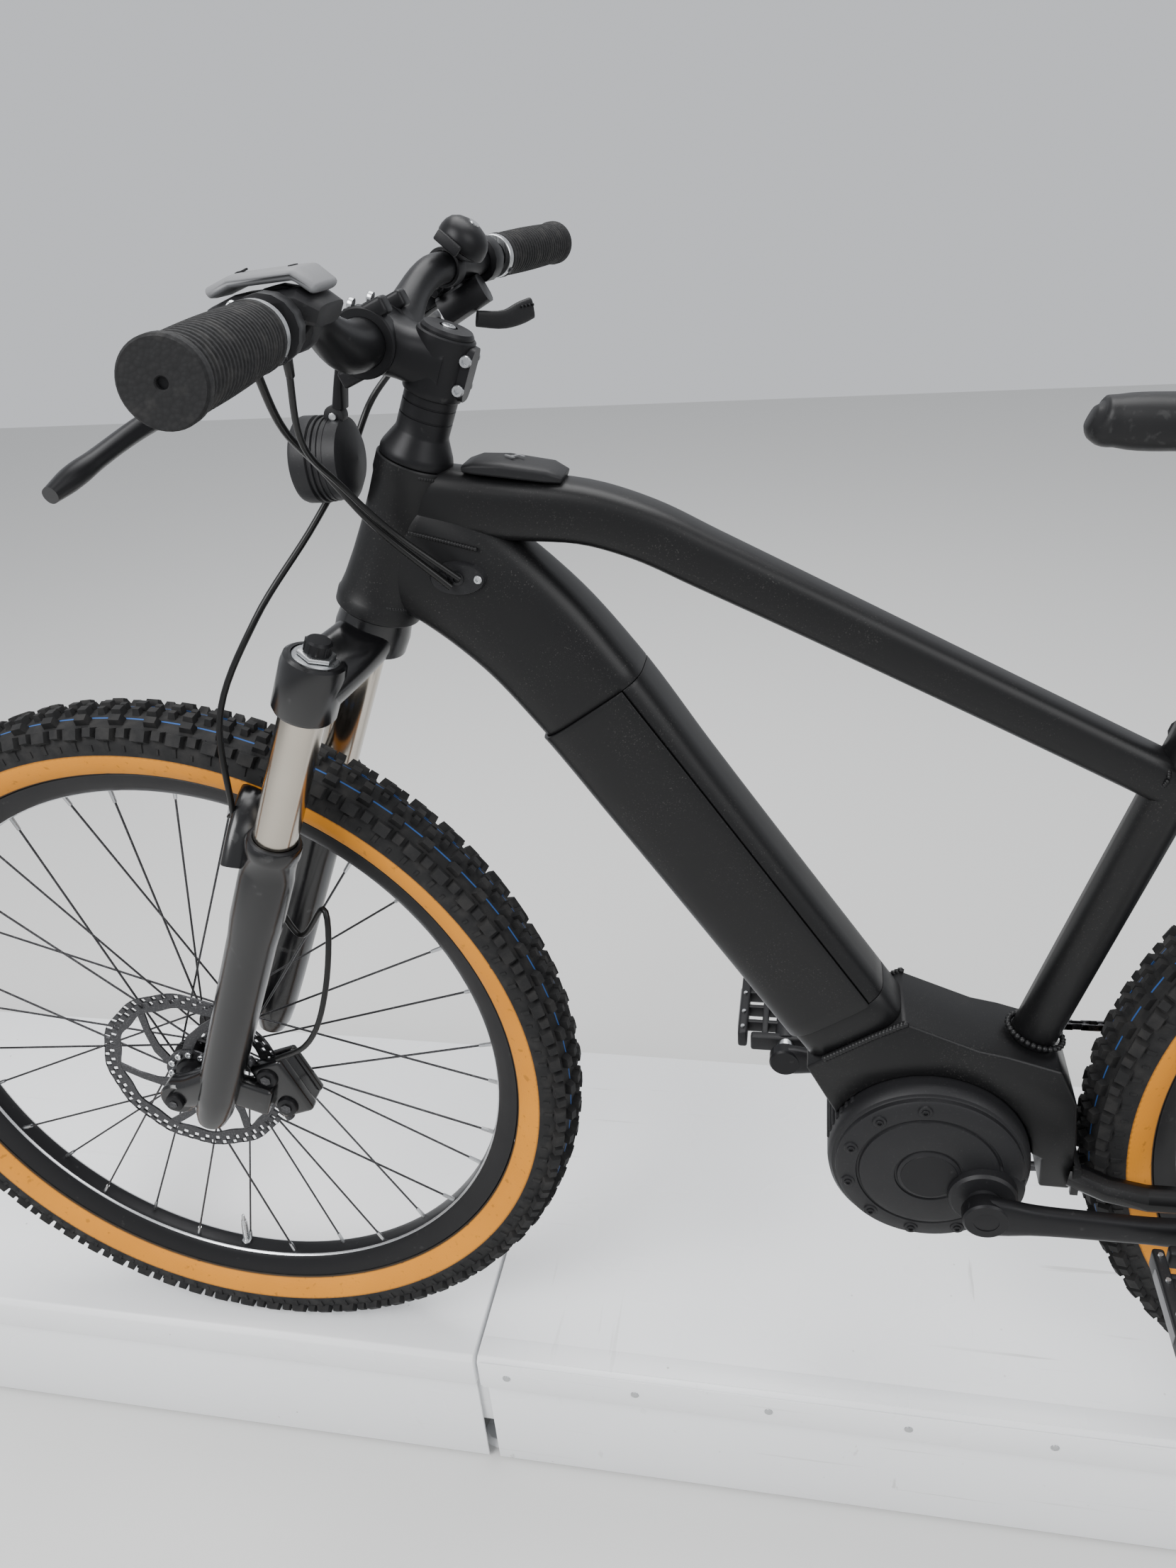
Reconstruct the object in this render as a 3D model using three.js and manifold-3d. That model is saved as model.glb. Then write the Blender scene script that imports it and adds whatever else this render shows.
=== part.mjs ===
// Hardtail electric mountain bicycle on a low shop display platform.
// Millimetres, +Z up. The front wheel points to -X, the left side of the bicycle to -Y.
// The layout frame has its origin on the deck under the front axle; the finished group is moved so
// that its own origin is at the bottom centre of the whole object.
import * as THREE from 'three';
import { mergeVertices } from 'three/addons/utils/BufferGeometryUtils.js';
import Module from 'manifold-3d';

const wasm = await Module();
wasm.setup();

// ---------------------------------------------------------------- driving dimensions
const GAP = 0.3;                   // clearance between neighbouring pieces

// wheels
const TYRE_R = 350;                // outside radius over the knobs
const TYRE_W = 60;
const TYRE_BEAD_R = 300;
const RIM_R = 298;                 // outer edge of the rim flange
const RIM_DEPTH = 22;
const RIM_W = 36;
const WHEEL_SIDES = 32;
const WHEELBASE = 1115;
const FRONT_OLD = 110;             // distance between the dropout faces
const REAR_OLD = 148;
const AXLE_R = 7.5;
const ROTOR_R = 90;
const ROTOR_T = 1.8;
const ROTOR_INSET = 15.5;          // from the dropout face to the rotor

// steering
const HEAD_ANGLE = 67.5;           // degrees from the ground
const FORK_OFFSET = 50;            // from the steering axis to the front axle
const HEAD_LOW = 486;              // places along the steering axis, from the axle's foot point
const HEAD_HIGH = 600;
const COVER_H = 20;
const SPACER_H = 25;
const STEM_H = 40;
const STEERER_R = 14.3;
const STEM_REACH = 45;

// fork
const FORK_TRAVEL = 90;
const LEG_SPACING = 130;           // between the two leg centres
const LEG_AHEAD = 18;              // leg centre in front of the steering axis
const STANCHION_R = 17;
const LEG_R = 21.5;
const LEG_LOW = -22;
const LEG_HIGH = 304;
const CROWN_LOW = 420;
const CROWN_HIGH = 466;

// handlebar
const BAR_W = 700;
const BAR_RISE = 30;
const BAR_SWEEP = 10;              // degrees
const BAR_CLAMP_R = 15.9;
const BAR_R = 11.1;
const GRIP_L = 132;
const GRIP_R = 16.5;
const LAMP_TAB = 36;               // from the lamp's axis to the top of its tab
const KNUCKLE_R = 7;
const BLADE_EYE = 12;              // thickness of a lever blade at its pivot
const BLADE_SLOT_R = 17;
const ROCKER_T = 6.5;
const ROCKER_GAP = 2.9;            // travel room between the rocker and its base
const BELL_Y = 140;                // from the bar's middle
const BELL_TILT = 42;              // degrees back from upright
const LEVER_Y = 192;               // clamp of the brake lever, from the bar's middle

// frame
const BB_X = 686;
const BB_Z = 306;
const SEAT_ANGLE = 73.5;
const SEAT_TUBE_R = 18;
const SEAT_POST_R = 15.8;
const SEAT_TUBE_TOP = 742;
const SADDLE_Z = 916;
const SADDLE_L = 270;
const SADDLE_W = 150;
const DOWN_W = 62;
const DOWN_H = 86;
const COVER_SKIN = 14;
const BATTERY_W = 42;
const BATTERY_H = 44;
const BATTERY_L = 330;

// drive
const MOTOR_W = 122;
const MOTOR_R = 80;
const MOTOR_X = 644;
const MOTOR_Z = 321;
const CRANK_L = 160;
const CRANK_FACE = 89;             // outer face of a crank from the middle plane
const CRANK_T = 14;
const CHAINLINE = 52;
const CHAINRING_R = 77;
const CHAINRING_TEETH = 38;
const SPROCKET_R = 44;
const PEDAL_L = 100;
const PEDAL_W = 92;
const PEDAL_T = 20;

// platform
const DECK_FRONT_Y = -50;          // front edge of the deck from the bicycle's middle plane
const DECK_DEPTH = 462;
const DECK_SEAM_X = 224;
const MODULE_L = 1250;
const PLATFORM_H = 180;
const LIP_H = 41;
const SHEET = 3;
const SEAM_GAP = 4;

// stand for the rear wheel
const HOOP_R = 6;
const HOOP_L = 232;
const HOOP_H = 214;
const STAND_W = 210;

// ---------------------------------------------------------------- small helpers
const rad = THREE.MathUtils.degToRad;
const V = (x, y, z) => new THREE.Vector3(x, y, z);
const AXIS_Y = V(0, 1, 0);

function signedVolume(positions, index) {
  const a = new THREE.Vector3();
  const b = new THREE.Vector3();
  const c = new THREE.Vector3();
  let volume = 0;
  for (let i = 0; i < index.length; i += 3) {
    a.fromArray(positions, index[i] * 3);
    b.fromArray(positions, index[i + 1] * 3);
    c.fromArray(positions, index[i + 2] * 3);
    volume += a.dot(b.cross(c)) / 6;
  }
  return volume;
}

// Position-only indexed geometry with merged vertices, facing out.
function closed(geometry) {
  const bare = new THREE.BufferGeometry();
  bare.setAttribute('position', geometry.getAttribute('position'));
  if (geometry.index) bare.setIndex(geometry.index);
  const merged = mergeVertices(bare, 1e-4);
  const old = merged.index.array;
  const kept = [];
  for (let i = 0; i < old.length; i += 3) {
    const [a, b, c] = [old[i], old[i + 1], old[i + 2]];
    if (a !== b && b !== c && c !== a) kept.push(a, b, c);
  }
  if (signedVolume(merged.getAttribute('position').array, kept) < 0) {
    for (let i = 0; i < kept.length; i += 3) {
      [kept[i + 1], kept[i + 2]] = [kept[i + 2], kept[i + 1]];
    }
  }
  merged.setIndex(kept);
  return merged;
}

function solid(geometry) {
  const shell = closed(geometry);
  return new wasm.Manifold(new wasm.Mesh({
    numProp: 3,
    vertProperties: new Float32Array(shell.getAttribute('position').array),
    triVerts: new Uint32Array(shell.index.array),
  }));
}

function geometryOf(manifold) {
  const mesh = manifold.getMesh();
  const geometry = new THREE.BufferGeometry();
  geometry.setAttribute('position', new THREE.BufferAttribute(mesh.vertProperties, 3));
  geometry.setIndex(new THREE.BufferAttribute(mesh.triVerts, 1));
  return geometry;
}

const join = (first, ...others) => others.reduce((sum, item) => sum.add(item), first);
const cut = (first, ...others) => others.reduce((sum, item) => sum.subtract(item), first);

// Matrix that carries the Y axis onto the line from one point to another.
function along(from, to) {
  const turn = new THREE.Quaternion().setFromUnitVectors(AXIS_Y, to.clone().sub(from).normalize());
  return new THREE.Matrix4().compose(from, turn, V(1, 1, 1));
}

function rod(from, to, radius, endRadius = radius, sides = 16) {
  const length = from.distanceTo(to);
  const geometry = new THREE.CylinderGeometry(endRadius, radius, length, sides);
  geometry.translate(0, length / 2, 0);
  return solid(geometry.applyMatrix4(along(from, to)));
}

// Ring or turned piece: profile is a list of [radius, place] along the line from one point.
function turned(profile, from, to, segments = 16) {
  const points = profile.map(([radius, place]) => new THREE.Vector2(radius, place));
  const geometry = new THREE.LatheGeometry(points, segments);
  return solid(geometry.applyMatrix4(along(from, to)));
}

function box(low, high) {
  const size = high.clone().sub(low);
  const geometry = new THREE.BoxGeometry(size.x, size.y, size.z);
  geometry.translate((low.x + high.x) / 2, (low.y + high.y) / 2, (low.z + high.z) / 2);
  return solid(geometry);
}

// Box centred on the line between two points, with a width along Y and a height across both.
function bar(from, to, width, height) {
  const length = from.distanceTo(to);
  const geometry = new THREE.BoxGeometry(length, width, height);
  const axisX = to.clone().sub(from).normalize();
  const axisZ = axisX.clone().cross(AXIS_Y).normalize();
  const matrix = new THREE.Matrix4().makeBasis(axisX, axisZ.clone().cross(axisX), axisZ);
  geometry.applyMatrix4(matrix);
  geometry.translate((from.x + to.x) / 2, (from.y + to.y) / 2, (from.z + to.z) / 2);
  return solid(geometry);
}

// Round pipe along a smooth curve.
function pipe(points, radius, steps, sides = 10) {
  const outline = [];
  for (let i = 0; i < sides; i += 1) {
    const angle = (i / sides) * 2 * Math.PI;
    outline.push(new THREE.Vector2(radius * Math.cos(angle), radius * Math.sin(angle)));
  }
  const path = new THREE.CatmullRomCurve3(points, false, 'centripetal');
  const settings = { steps, extrudePath: path, bevelEnabled: false };
  return solid(new THREE.ExtrudeGeometry(new THREE.Shape(outline), settings));
}

// Skin over rounded rectangular sections. Each station is
// { at, width, height, corner } with corner 2 for an ellipse and more for a squarer section.
function loft(stations, sides = 16, across = AXIS_Y) {
  const positions = [];
  const index = [];
  stations.forEach((station, row) => {
    const before = stations[Math.max(row - 1, 0)].at;
    const after = stations[Math.min(row + 1, stations.length - 1)].at;
    const forward = after.clone().sub(before).normalize();
    const up = forward.clone().cross(across).normalize();
    const side = up.clone().cross(forward).normalize();
    for (let i = 0; i < sides; i += 1) {
      const angle = ((i + 0.5) / sides) * 2 * Math.PI;
      const power = 2 / station.corner;
      const c = Math.cos(angle);
      const s = Math.sin(angle);
      const y = Math.sign(c) * Math.abs(c) ** power * station.width / 2;
      const z = Math.sign(s) * Math.abs(s) ** power * station.height / 2;
      const point = station.at.clone().addScaledVector(side, y).addScaledVector(up, z);
      positions.push(point.x, point.y, point.z);
    }
  });
  const rows = stations.length;
  for (let row = 0; row < rows - 1; row += 1) {
    for (let i = 0; i < sides; i += 1) {
      const a = row * sides + i;
      const b = row * sides + (i + 1) % sides;
      index.push(a, b, b + sides, a, b + sides, a + sides);
    }
  }
  for (const row of [0, rows - 1]) {
    const centre = positions.length / 3;
    const at = stations[row].at;
    positions.push(at.x, at.y, at.z);
    for (let i = 0; i < sides; i += 1) {
      const a = row * sides + i;
      const b = row * sides + (i + 1) % sides;
      if (row === 0) index.push(centre, b, a);
      else index.push(centre, a, b);
    }
  }
  const geometry = new THREE.BufferGeometry();
  geometry.setAttribute('position', new THREE.Float32BufferAttribute(positions, 3));
  geometry.setIndex(index);
  return solid(geometry);
}

// Flat outline in the XZ plane, given a thickness along Y from low to high.
function plate(outline, low, high, holes = []) {
  const shape = new THREE.Shape(outline.map(([x, z]) => new THREE.Vector2(x, z)));
  const geometry = new THREE.ExtrudeGeometry(shape, { depth: high - low, bevelEnabled: false });
  geometry.rotateX(Math.PI / 2);
  geometry.translate(0, high, 0);
  return cut(solid(geometry), ...holes.map((hole) => plate(hole, low - 1, high + 1)));
}

function circle(x, z, radius, sides = 32, start = 0, sweep = 2 * Math.PI) {
  const full = Math.abs(sweep) > 2 * Math.PI - 1e-6;
  const points = [];
  for (let i = 0; i < sides + (full ? 0 : 1); i += 1) {
    const angle = start + (i / sides) * sweep;
    points.push([x + radius * Math.cos(angle), z + radius * Math.sin(angle)]);
  }
  return points;
}

// ---------------------------------------------------------------- finishes
function finish(color, roughness, metalness = 0) {
  return () => new THREE.MeshStandardMaterial({ color, roughness, metalness });
}
const matteBlack = finish(0x17181a, 0.62);
const satinBlack = finish(0x1b1c1e, 0.45);
const moulded = finish(0x222325, 0.7);
const blackRubber = finish(0x1c1c1c, 0.9);
const greyPlastic = finish(0x77797b, 0.55);
const nickel = finish(0x8d867b, 0.22, 1);
const steel = finish(0xa3a5a6, 0.35, 1);
const darkSteel = finish(0x3a3a3c, 0.4, 1);
const amberTyre = finish(0x2a241d, 0.9);
const whitePaint = finish(0xdcdfe0, 0.35);
const cableJacket = finish(0x101010, 0.4);

const bicycle = new THREE.Group();
const platform = new THREE.Group();

function add(group, name, shape, material) {
  const mesh = new THREE.Mesh(closed(geometryOf(shape)), material());
  mesh.name = name;
  group.add(mesh);
  return mesh;
}

// ---------------------------------------------------------------- reference lines
const AXLE_Z = TYRE_R + GAP;
const frontAxle = V(0, 0, AXLE_Z);
const rearAxle = V(WHEELBASE, 0, AXLE_Z);
const bottomBracket = V(BB_X, 0, BB_Z);
const steerUp = V(Math.cos(rad(HEAD_ANGLE)), 0, Math.sin(rad(HEAD_ANGLE)));
const steerAhead = V(-Math.sin(rad(HEAD_ANGLE)), 0, Math.cos(rad(HEAD_ANGLE)));
const steerFoot = frontAxle.clone().addScaledVector(steerAhead, -FORK_OFFSET);
const seatUp = V(Math.cos(rad(SEAT_ANGLE)), 0, Math.sin(rad(SEAT_ANGLE)));

// Point given by its place along the steering axis, in front of it, and to the side.
function steer(place, ahead = 0, side = 0) {
  return steerFoot.clone().addScaledVector(steerUp, place)
    .addScaledVector(steerAhead, ahead).add(V(0, side, 0));
}

// Point on the seat tube's centre line at a height.
function seat(height) {
  return bottomBracket.clone().addScaledVector(seatUp, (height - BB_Z) / seatUp.z);
}

// Pivot axis of both brake levers.
const LEVER_UP = V(-0.447, 0, 0.894).normalize();

const STEM_LOW = HEAD_HIGH + COVER_H + SPACER_H;
const STEM_TOP = STEM_LOW + STEM_H;
const barCentre = steer(STEM_LOW + STEM_H / 2, STEM_REACH);
const SWEEP = Math.tan(rad(BAR_SWEEP));
const BAR_BEND = 125;              // where the straight outer part of the bar begins

// Centre of the bar at a distance from the middle plane, on the side of the sign given.
function barPoint(distance, side) {
  const outer = Math.max(distance - BAR_BEND * 0.62, 0);
  const ramp = THREE.MathUtils.smoothstep(distance, 36, BAR_BEND);
  return V(barCentre.x + outer * SWEEP * ramp, side * distance, barCentre.z + BAR_RISE * ramp);
}

// ---------------------------------------------------------------- wheels
function tyre(axle) {
  const half = TYRE_W / 2;
  const bead = RIM_W / 2;
  const profile = [
    [TYRE_BEAD_R, -bead], [TYRE_BEAD_R + 14, -half + 3], [TYRE_R - 18, -half],
    [TYRE_R - 5, -half + 9], [TYRE_R, -half * 0.35], [TYRE_R, half * 0.35],
    [TYRE_R - 5, half - 9], [TYRE_R - 18, half], [TYRE_BEAD_R + 14, half - 3],
    [TYRE_BEAD_R, bead], [TYRE_BEAD_R, -bead],
  ];
  return turned(profile, axle, axle.clone().add(AXIS_Y), WHEEL_SIDES);
}

function rim(axle) {
  const half = RIM_W / 2;
  const inner = RIM_R - RIM_DEPTH;
  const profile = [
    [inner, -half * 0.45], [RIM_R - 8, -half], [RIM_R, -half], [RIM_R, half],
    [RIM_R - 8, half], [inner, half * 0.45], [inner, -half * 0.45],
  ];
  return turned(profile, axle, axle.clone().add(AXIS_Y), WHEEL_SIDES);
}

// Hub shell with its bore and two spoke flanges.
function hub(axle, old, flangeR, flangeY) {
  const end = old / 2 - GAP;
  const bore = AXLE_R + GAP;
  const diskY = -(old / 2 - ROTOR_INSET);
  const profile = [
    [bore, -end], [12, -end], [12, diskY - 5], [17, diskY - 5], [15, diskY + 6],
    [15, -flangeY - 2], [flangeR, -flangeY - 2], [flangeR, -flangeY + 2], [14, -flangeY + 5],
    [14, flangeY - 5], [flangeR, flangeY - 2], [flangeR, flangeY + 2], [15, flangeY + 4],
    [12, flangeY + 5], [12, end], [bore, end], [bore, -end],
  ];
  return turned(profile, axle, axle.clone().add(AXIS_Y), 16);
}

// Brake disc: wavy rim, six swept arms and a centre ring.
function rotor(axle, old, windows = 6) {
  const holes = [];
  for (let i = 0; i < windows; i += 1) {
    const start = (i / windows) * 2 * Math.PI;
    const wide = 2 * Math.PI / windows - 0.16;
    const outer = circle(axle.x, axle.z, ROTOR_R - 16, 4, start, wide);
    const inner = circle(axle.x, axle.z, 30, 2, start + wide - 0.25, -(wide - 0.25));
    holes.push([...outer, ...inner]);
  }
  holes.push(circle(axle.x, axle.z, 17 + GAP, 16));
  const y = -(old / 2 - ROTOR_INSET);
  return plate(circle(axle.x, axle.z, ROTOR_R, 30), y - ROTOR_T / 2, y + ROTOR_T / 2, holes);
}

function buildWheels() {
  add(bicycle, 'front_tyre', tyre(frontAxle), amberTyre);
  add(bicycle, 'front_rim', rim(frontAxle), satinBlack);
  add(bicycle, 'front_hub', hub(frontAxle, FRONT_OLD, 27, 25), satinBlack);
  add(bicycle, 'front_rotor', rotor(frontAxle, FRONT_OLD), darkSteel);
  add(bicycle, 'rear_tyre', tyre(rearAxle), amberTyre);
  add(bicycle, 'rear_rim', rim(rearAxle), satinBlack);
  add(bicycle, 'rear_hub', hub(rearAxle, REAR_OLD, 27, 16), satinBlack);
  add(bicycle, 'rear_rotor', rotor(rearAxle, REAR_OLD), darkSteel);
  const low = 34;
  const high = 64;
  const sprockets = [
    [15 + GAP, low], [SPROCKET_R, low], [SPROCKET_R, low + 4], [30, high - 4], [30, high],
    [12 + GAP, high], [12 + GAP, low + 4], [15 + GAP, low + 4], [15 + GAP, low],
  ];
  add(bicycle, 'cassette', turned(sprockets, rearAxle, rearAxle.clone().add(AXIS_Y), 24), steel);
}

// Room for the brake disc to turn through its caliper.
function discSlot(axle, y) {
  const half = ROTOR_T / 2 + 1.3;
  const reach = ROTOR_R + 2;
  return rod(axle.clone().setY(y - half), axle.clone().setY(y + half), reach, reach, 24);
}

// ---------------------------------------------------------------- suspension fork
function buildFork() {
  const half = LEG_SPACING / 2;
  const bore = STANCHION_R + GAP;
  const race = HEAD_LOW - 1;
  const steerer = rod(steer(race - 8), steer(STEM_TOP - 1), STEERER_R, STEERER_R, 16);
  const base = rod(steer(CROWN_HIGH - 6), steer(race), 27, 25, 16);
  const bridge = loft([
    { at: steer(CROWN_HIGH - 24, LEG_AHEAD, -half), width: 46, height: 40, corner: 3 },
    { at: steer(CROWN_HIGH - 6, LEG_AHEAD * 0.4, -half * 0.45), width: 42, height: 24, corner: 3 },
    { at: steer(CROWN_HIGH + 1, 0, 0), width: 46, height: 24, corner: 3 },
    { at: steer(CROWN_HIGH - 6, LEG_AHEAD * 0.4, half * 0.45), width: 42, height: 24, corner: 3 },
    { at: steer(CROWN_HIGH - 24, LEG_AHEAD, half), width: 46, height: 40, corner: 3 },
  ], 16, steerAhead);
  let crown = join(steerer, base, bridge);
  for (const side of [-1, 1]) {
    const y = side * half;
    crown = crown.add(rod(steer(CROWN_LOW, LEG_AHEAD, y), steer(CROWN_HIGH, LEG_AHEAD, y),
      STANCHION_R + 6.5, STANCHION_R + 5.5, 16));
  }
  for (const side of [-1, 1]) {
    const y = side * half;
    crown = crown.subtract(rod(steer(CROWN_LOW - 5, LEG_AHEAD, y),
      steer(CROWN_HIGH - 5, LEG_AHEAD, y), bore, bore, 16));
  }
  add(bicycle, 'fork_crown', crown, matteBlack);

  for (const [name, side] of [['left', -1], ['right', 1]]) {
    const y = side * half;
    const tube = rod(steer(LEG_LOW + FORK_TRAVEL + 42, LEG_AHEAD, y),
      steer(CROWN_HIGH - 5 - GAP, LEG_AHEAD, y), STANCHION_R, STANCHION_R, 16);
    add(bicycle, `stanchion_${name}`, tube, nickel);
  }

  const knobFoot = steer(CROWN_HIGH + GAP, LEG_AHEAD, -half);
  const knob = turned([[0, 0], [14, 0], [14, 3], [9, 4], [8, 13], [0, 13]],
    knobFoot, steer(CROWN_HIGH + 20, LEG_AHEAD, -half), 16);
  add(bicycle, 'fork_knob', knob, satinBlack);

  // One casting: two legs with their bores, dropouts, the axle through the hub, and the arch.
  const inside = FRONT_OLD / 2;
  let lowers = rod(frontAxle.clone().add(V(0, -half - 12, 0)),
    frontAxle.clone().add(V(0, half + 12, 0)), AXLE_R, AXLE_R, 16);
  for (const side of [-1, 1]) {
    const y = side * half;
    const foot = steer(LEG_LOW, LEG_AHEAD, y);
    const length = LEG_HIGH - LEG_LOW;
    const profile = [
      [0, 0], [16, 0], [19, 6], [LEG_R, 200], [LEG_R, length - 13], [LEG_R + 2.5, length - 10],
      [LEG_R + 2.5, length], [0, length],
    ];
    const leg = turned(profile, foot, steer(LEG_HIGH, LEG_AHEAD, y), 16);
    const dropout = loft([
      { at: steer(4, LEG_AHEAD - 4, y), width: 22, height: 44, corner: 3 },
      { at: steer(2, FORK_OFFSET - 18, side * (inside + 8)), width: 15, height: 36, corner: 3 },
      { at: steer(0, FORK_OFFSET + 14, side * (inside + 7)), width: 13, height: 24, corner: 3 },
    ], 12);
    lowers = join(lowers, leg, dropout);
  }
  const archR = TYRE_R + 8;
  const arch = [];
  for (const share of [-1, -0.96, -0.7, -0.35, 0.35, 0.7, 0.96, 1]) {
    const rise = Math.sqrt(1 - Math.abs(share) ** 2.6);
    const place = LEG_HIGH - 34 + (archR + 12 - (LEG_HIGH - 34)) * rise;
    const ahead = LEG_AHEAD + 22 + 16 * rise;
    arch.push({ at: steer(place, ahead, share * (half - 4)), width: 18, height: 16, corner: 3 });
  }
  lowers = lowers.add(loft(arch, 12, steerAhead));
  // Caliper block behind the left leg, open around the disc.
  const rotorY = -(inside - ROTOR_INSET);
  const caliper = box(V(74, rotorY - 17, 322), V(108, rotorY + 13, 384));
  const mount = box(V(40, -half - 6, 330), V(80, -half + 10, 372));
  const slot = discSlot(frontAxle, rotorY);
  const block = cut(join(caliper, mount), slot);
  lowers = lowers.add(block);
  for (const side of [-1, 1]) {
    const y = side * half;
    lowers = lowers.subtract(rod(steer(LEG_LOW + 40, LEG_AHEAD, y),
      steer(LEG_HIGH + 5, LEG_AHEAD, y), bore, bore, 16));
  }
  add(bicycle, 'fork_lowers', lowers, matteBlack);
}

// ---------------------------------------------------------------- frame
function downTubeLine() {
  return [
    { at: V(262, 0, 826), width: 46, height: 88, corner: 3 },
    { at: V(298, 0, 807), width: 52, height: 92, corner: 3.2 },
    { at: V(343, 0, 769), width: 58, height: 90, corner: 3.6 },
    { at: V(384, 0, 719), width: DOWN_W, height: DOWN_H + 2, corner: 4 },
    { at: V(434, 0, 645.5), width: DOWN_W, height: DOWN_H, corner: 4 },
    { at: V(582, 0, 428.5), width: DOWN_W, height: DOWN_H, corner: 4 },
  ];
}

function buildFrame() {
  const steererBore = STEERER_R + 1;
  const shell = [
    [steererBore, HEAD_LOW], [31, HEAD_LOW], [31, HEAD_LOW + 10], [28, HEAD_LOW + 22],
    [26, HEAD_LOW + 50], [25, HEAD_HIGH - 14], [25, HEAD_HIGH], [steererBore, HEAD_HIGH],
    [steererBore, HEAD_LOW],
  ];
  const headTube = turned(shell, steer(0), steer(HEAD_HIGH), 16);
  add(bicycle, 'head_tube', headTube, matteBlack);

  const headKeepOut = turned([
    [0, HEAD_LOW - 80], [31 + GAP, HEAD_LOW - 80], [31 + GAP, HEAD_LOW + 10.4],
    [28 + 2 * GAP, HEAD_LOW + 22], [26 + 2 * GAP, HEAD_LOW + 50], [25 + GAP, HEAD_HIGH - 14],
    [25 + GAP, HEAD_HIGH], [26 + GAP, HEAD_HIGH], [26 + GAP, HEAD_HIGH + 60], [0, HEAD_HIGH + 60],
  ], steer(0), steer(HEAD_HIGH), 16);
  const tubeLine = downTubeLine();
  const whole = loft(tubeLine, 24).subtract(headKeepOut);
  const low = tubeLine[tubeLine.length - 1].at;
  const high = tubeLine[3].at;
  const axis = high.clone().sub(low).normalize();
  const outward = V(axis.z, 0, -axis.x);
  const lift = DOWN_H / 2 - COVER_SKIN / 2;
  const coverFrom = low.clone().addScaledVector(axis, 26).addScaledVector(outward, lift + 4);
  const coverTo = high.clone().addScaledVector(axis, -8).addScaledVector(outward, lift + 4);
  const coverZone = bar(coverFrom, coverTo, DOWN_W + 20, COVER_SKIN + 8);
  const grow = axis.clone().multiplyScalar(GAP);
  const coverBed = bar(coverFrom.clone().sub(grow), coverTo.clone().add(grow), DOWN_W + 21,
    COVER_SKIN + 8 + 2 * GAP);
  const packDepth = DOWN_H / 2 - COVER_SKIN - BATTERY_H / 2 - 2;
  const packFrom = low.clone().addScaledVector(axis, 40).addScaledVector(outward, packDepth);
  const packTo = packFrom.clone().addScaledVector(axis, BATTERY_L);
  const bedFrom = packFrom.clone().addScaledVector(axis, -3).addScaledVector(outward, 10);
  const bedTo = packTo.clone().addScaledVector(axis, 3).addScaledVector(outward, 10);
  const bed = bar(bedFrom, bedTo, BATTERY_W + 4, BATTERY_H + 24);
  const topTubeZone = loft(topTubeLine(2 * GAP), 16);
  add(bicycle, 'down_tube', cut(whole, coverBed, bed, topTubeZone), matteBlack);
  add(bicycle, 'battery_cover', whole.intersect(coverZone), matteBlack);
  add(bicycle, 'battery_pack', bar(packFrom, packTo, BATTERY_W, BATTERY_H), moulded);

  const seatTubeKeepOut = rod(seat(BB_Z + 60), seat(SEAT_TUBE_TOP + 40), SEAT_TUBE_R + GAP,
    SEAT_TUBE_R + GAP, 16);
  const topTube = cut(loft(topTubeLine(0), 16), headKeepOut, seatTubeKeepOut);
  add(bicycle, 'top_tube', topTube, matteBlack);

  const seatBore = SEAT_POST_R + GAP;
  const bracketTop = 420;
  const tube = rod(seat(bracketTop), seat(SEAT_TUBE_TOP), SEAT_TUBE_R, SEAT_TUBE_R, 16);
  const collar = rod(seat(SEAT_TUBE_TOP - 12), seat(SEAT_TUBE_TOP + 8), SEAT_TUBE_R + 4,
    SEAT_TUBE_R + 4, 16);
  const seatBoreRod = rod(seat(bracketTop + 20), seat(SEAT_TUBE_TOP + 30), seatBore, seatBore, 16);
  add(bicycle, 'seat_tube', cut(join(tube, collar), seatBoreRod), matteBlack);

  // Forged bracket that hangs the motor between the down tube, seat tube and chainstays.
  const forging = plate([
    [545, 402], [618, 453], [646, 442], [676, 430], [697, 426], [738, 415], [753, 382],
    [758, 340], [758, 292], [734, 292], [733, 322],
    ...circle(MOTOR_X, MOTOR_Z, (MOTOR_R + GAP) / Math.cos(rad(5.5)), 14, rad(4), rad(152)),
  ], -34, 34);
  const downKeepOut = loft([
    { at: low.clone().addScaledVector(axis, -GAP), width: 90, height: DOWN_H + 40, corner: 8 },
    { at: low.clone().addScaledVector(axis, 90), width: 90, height: DOWN_H + 40, corner: 8 },
  ], 16);
  const seatFoot = rod(seat(bracketTop - GAP), seat(bracketTop + 90), 40, 40, 16);
  add(bicycle, 'motor_bracket', cut(forging, downKeepOut, seatFoot), matteBlack);

  buildStays();

  // Charging port door on the top tube, hinged at its front edge.
  const doorHigh = topTubeTop(338);
  const door = loft([
    { at: V(311, 0, topTubeTop(311) + 2.6), width: 30, height: 5, corner: 4 },
    { at: V(320, 0, topTubeTop(320) + 4.5), width: 37, height: 9, corner: 4 },
    { at: V(338, 0, doorHigh + 5.5), width: 37, height: 11, corner: 4 },
    { at: V(368, 0, topTubeTop(368) + 5), width: 35, height: 10, corner: 4 },
    { at: V(378, 0, topTubeTop(378) + 3), width: 27, height: 6, corner: 4 },
  ], 16);
  const doorClear = cut(door, loft(topTubeLine(2 * GAP), 16));
  add(bicycle, 'charge_port_cover', doorClear, moulded);
}

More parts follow.
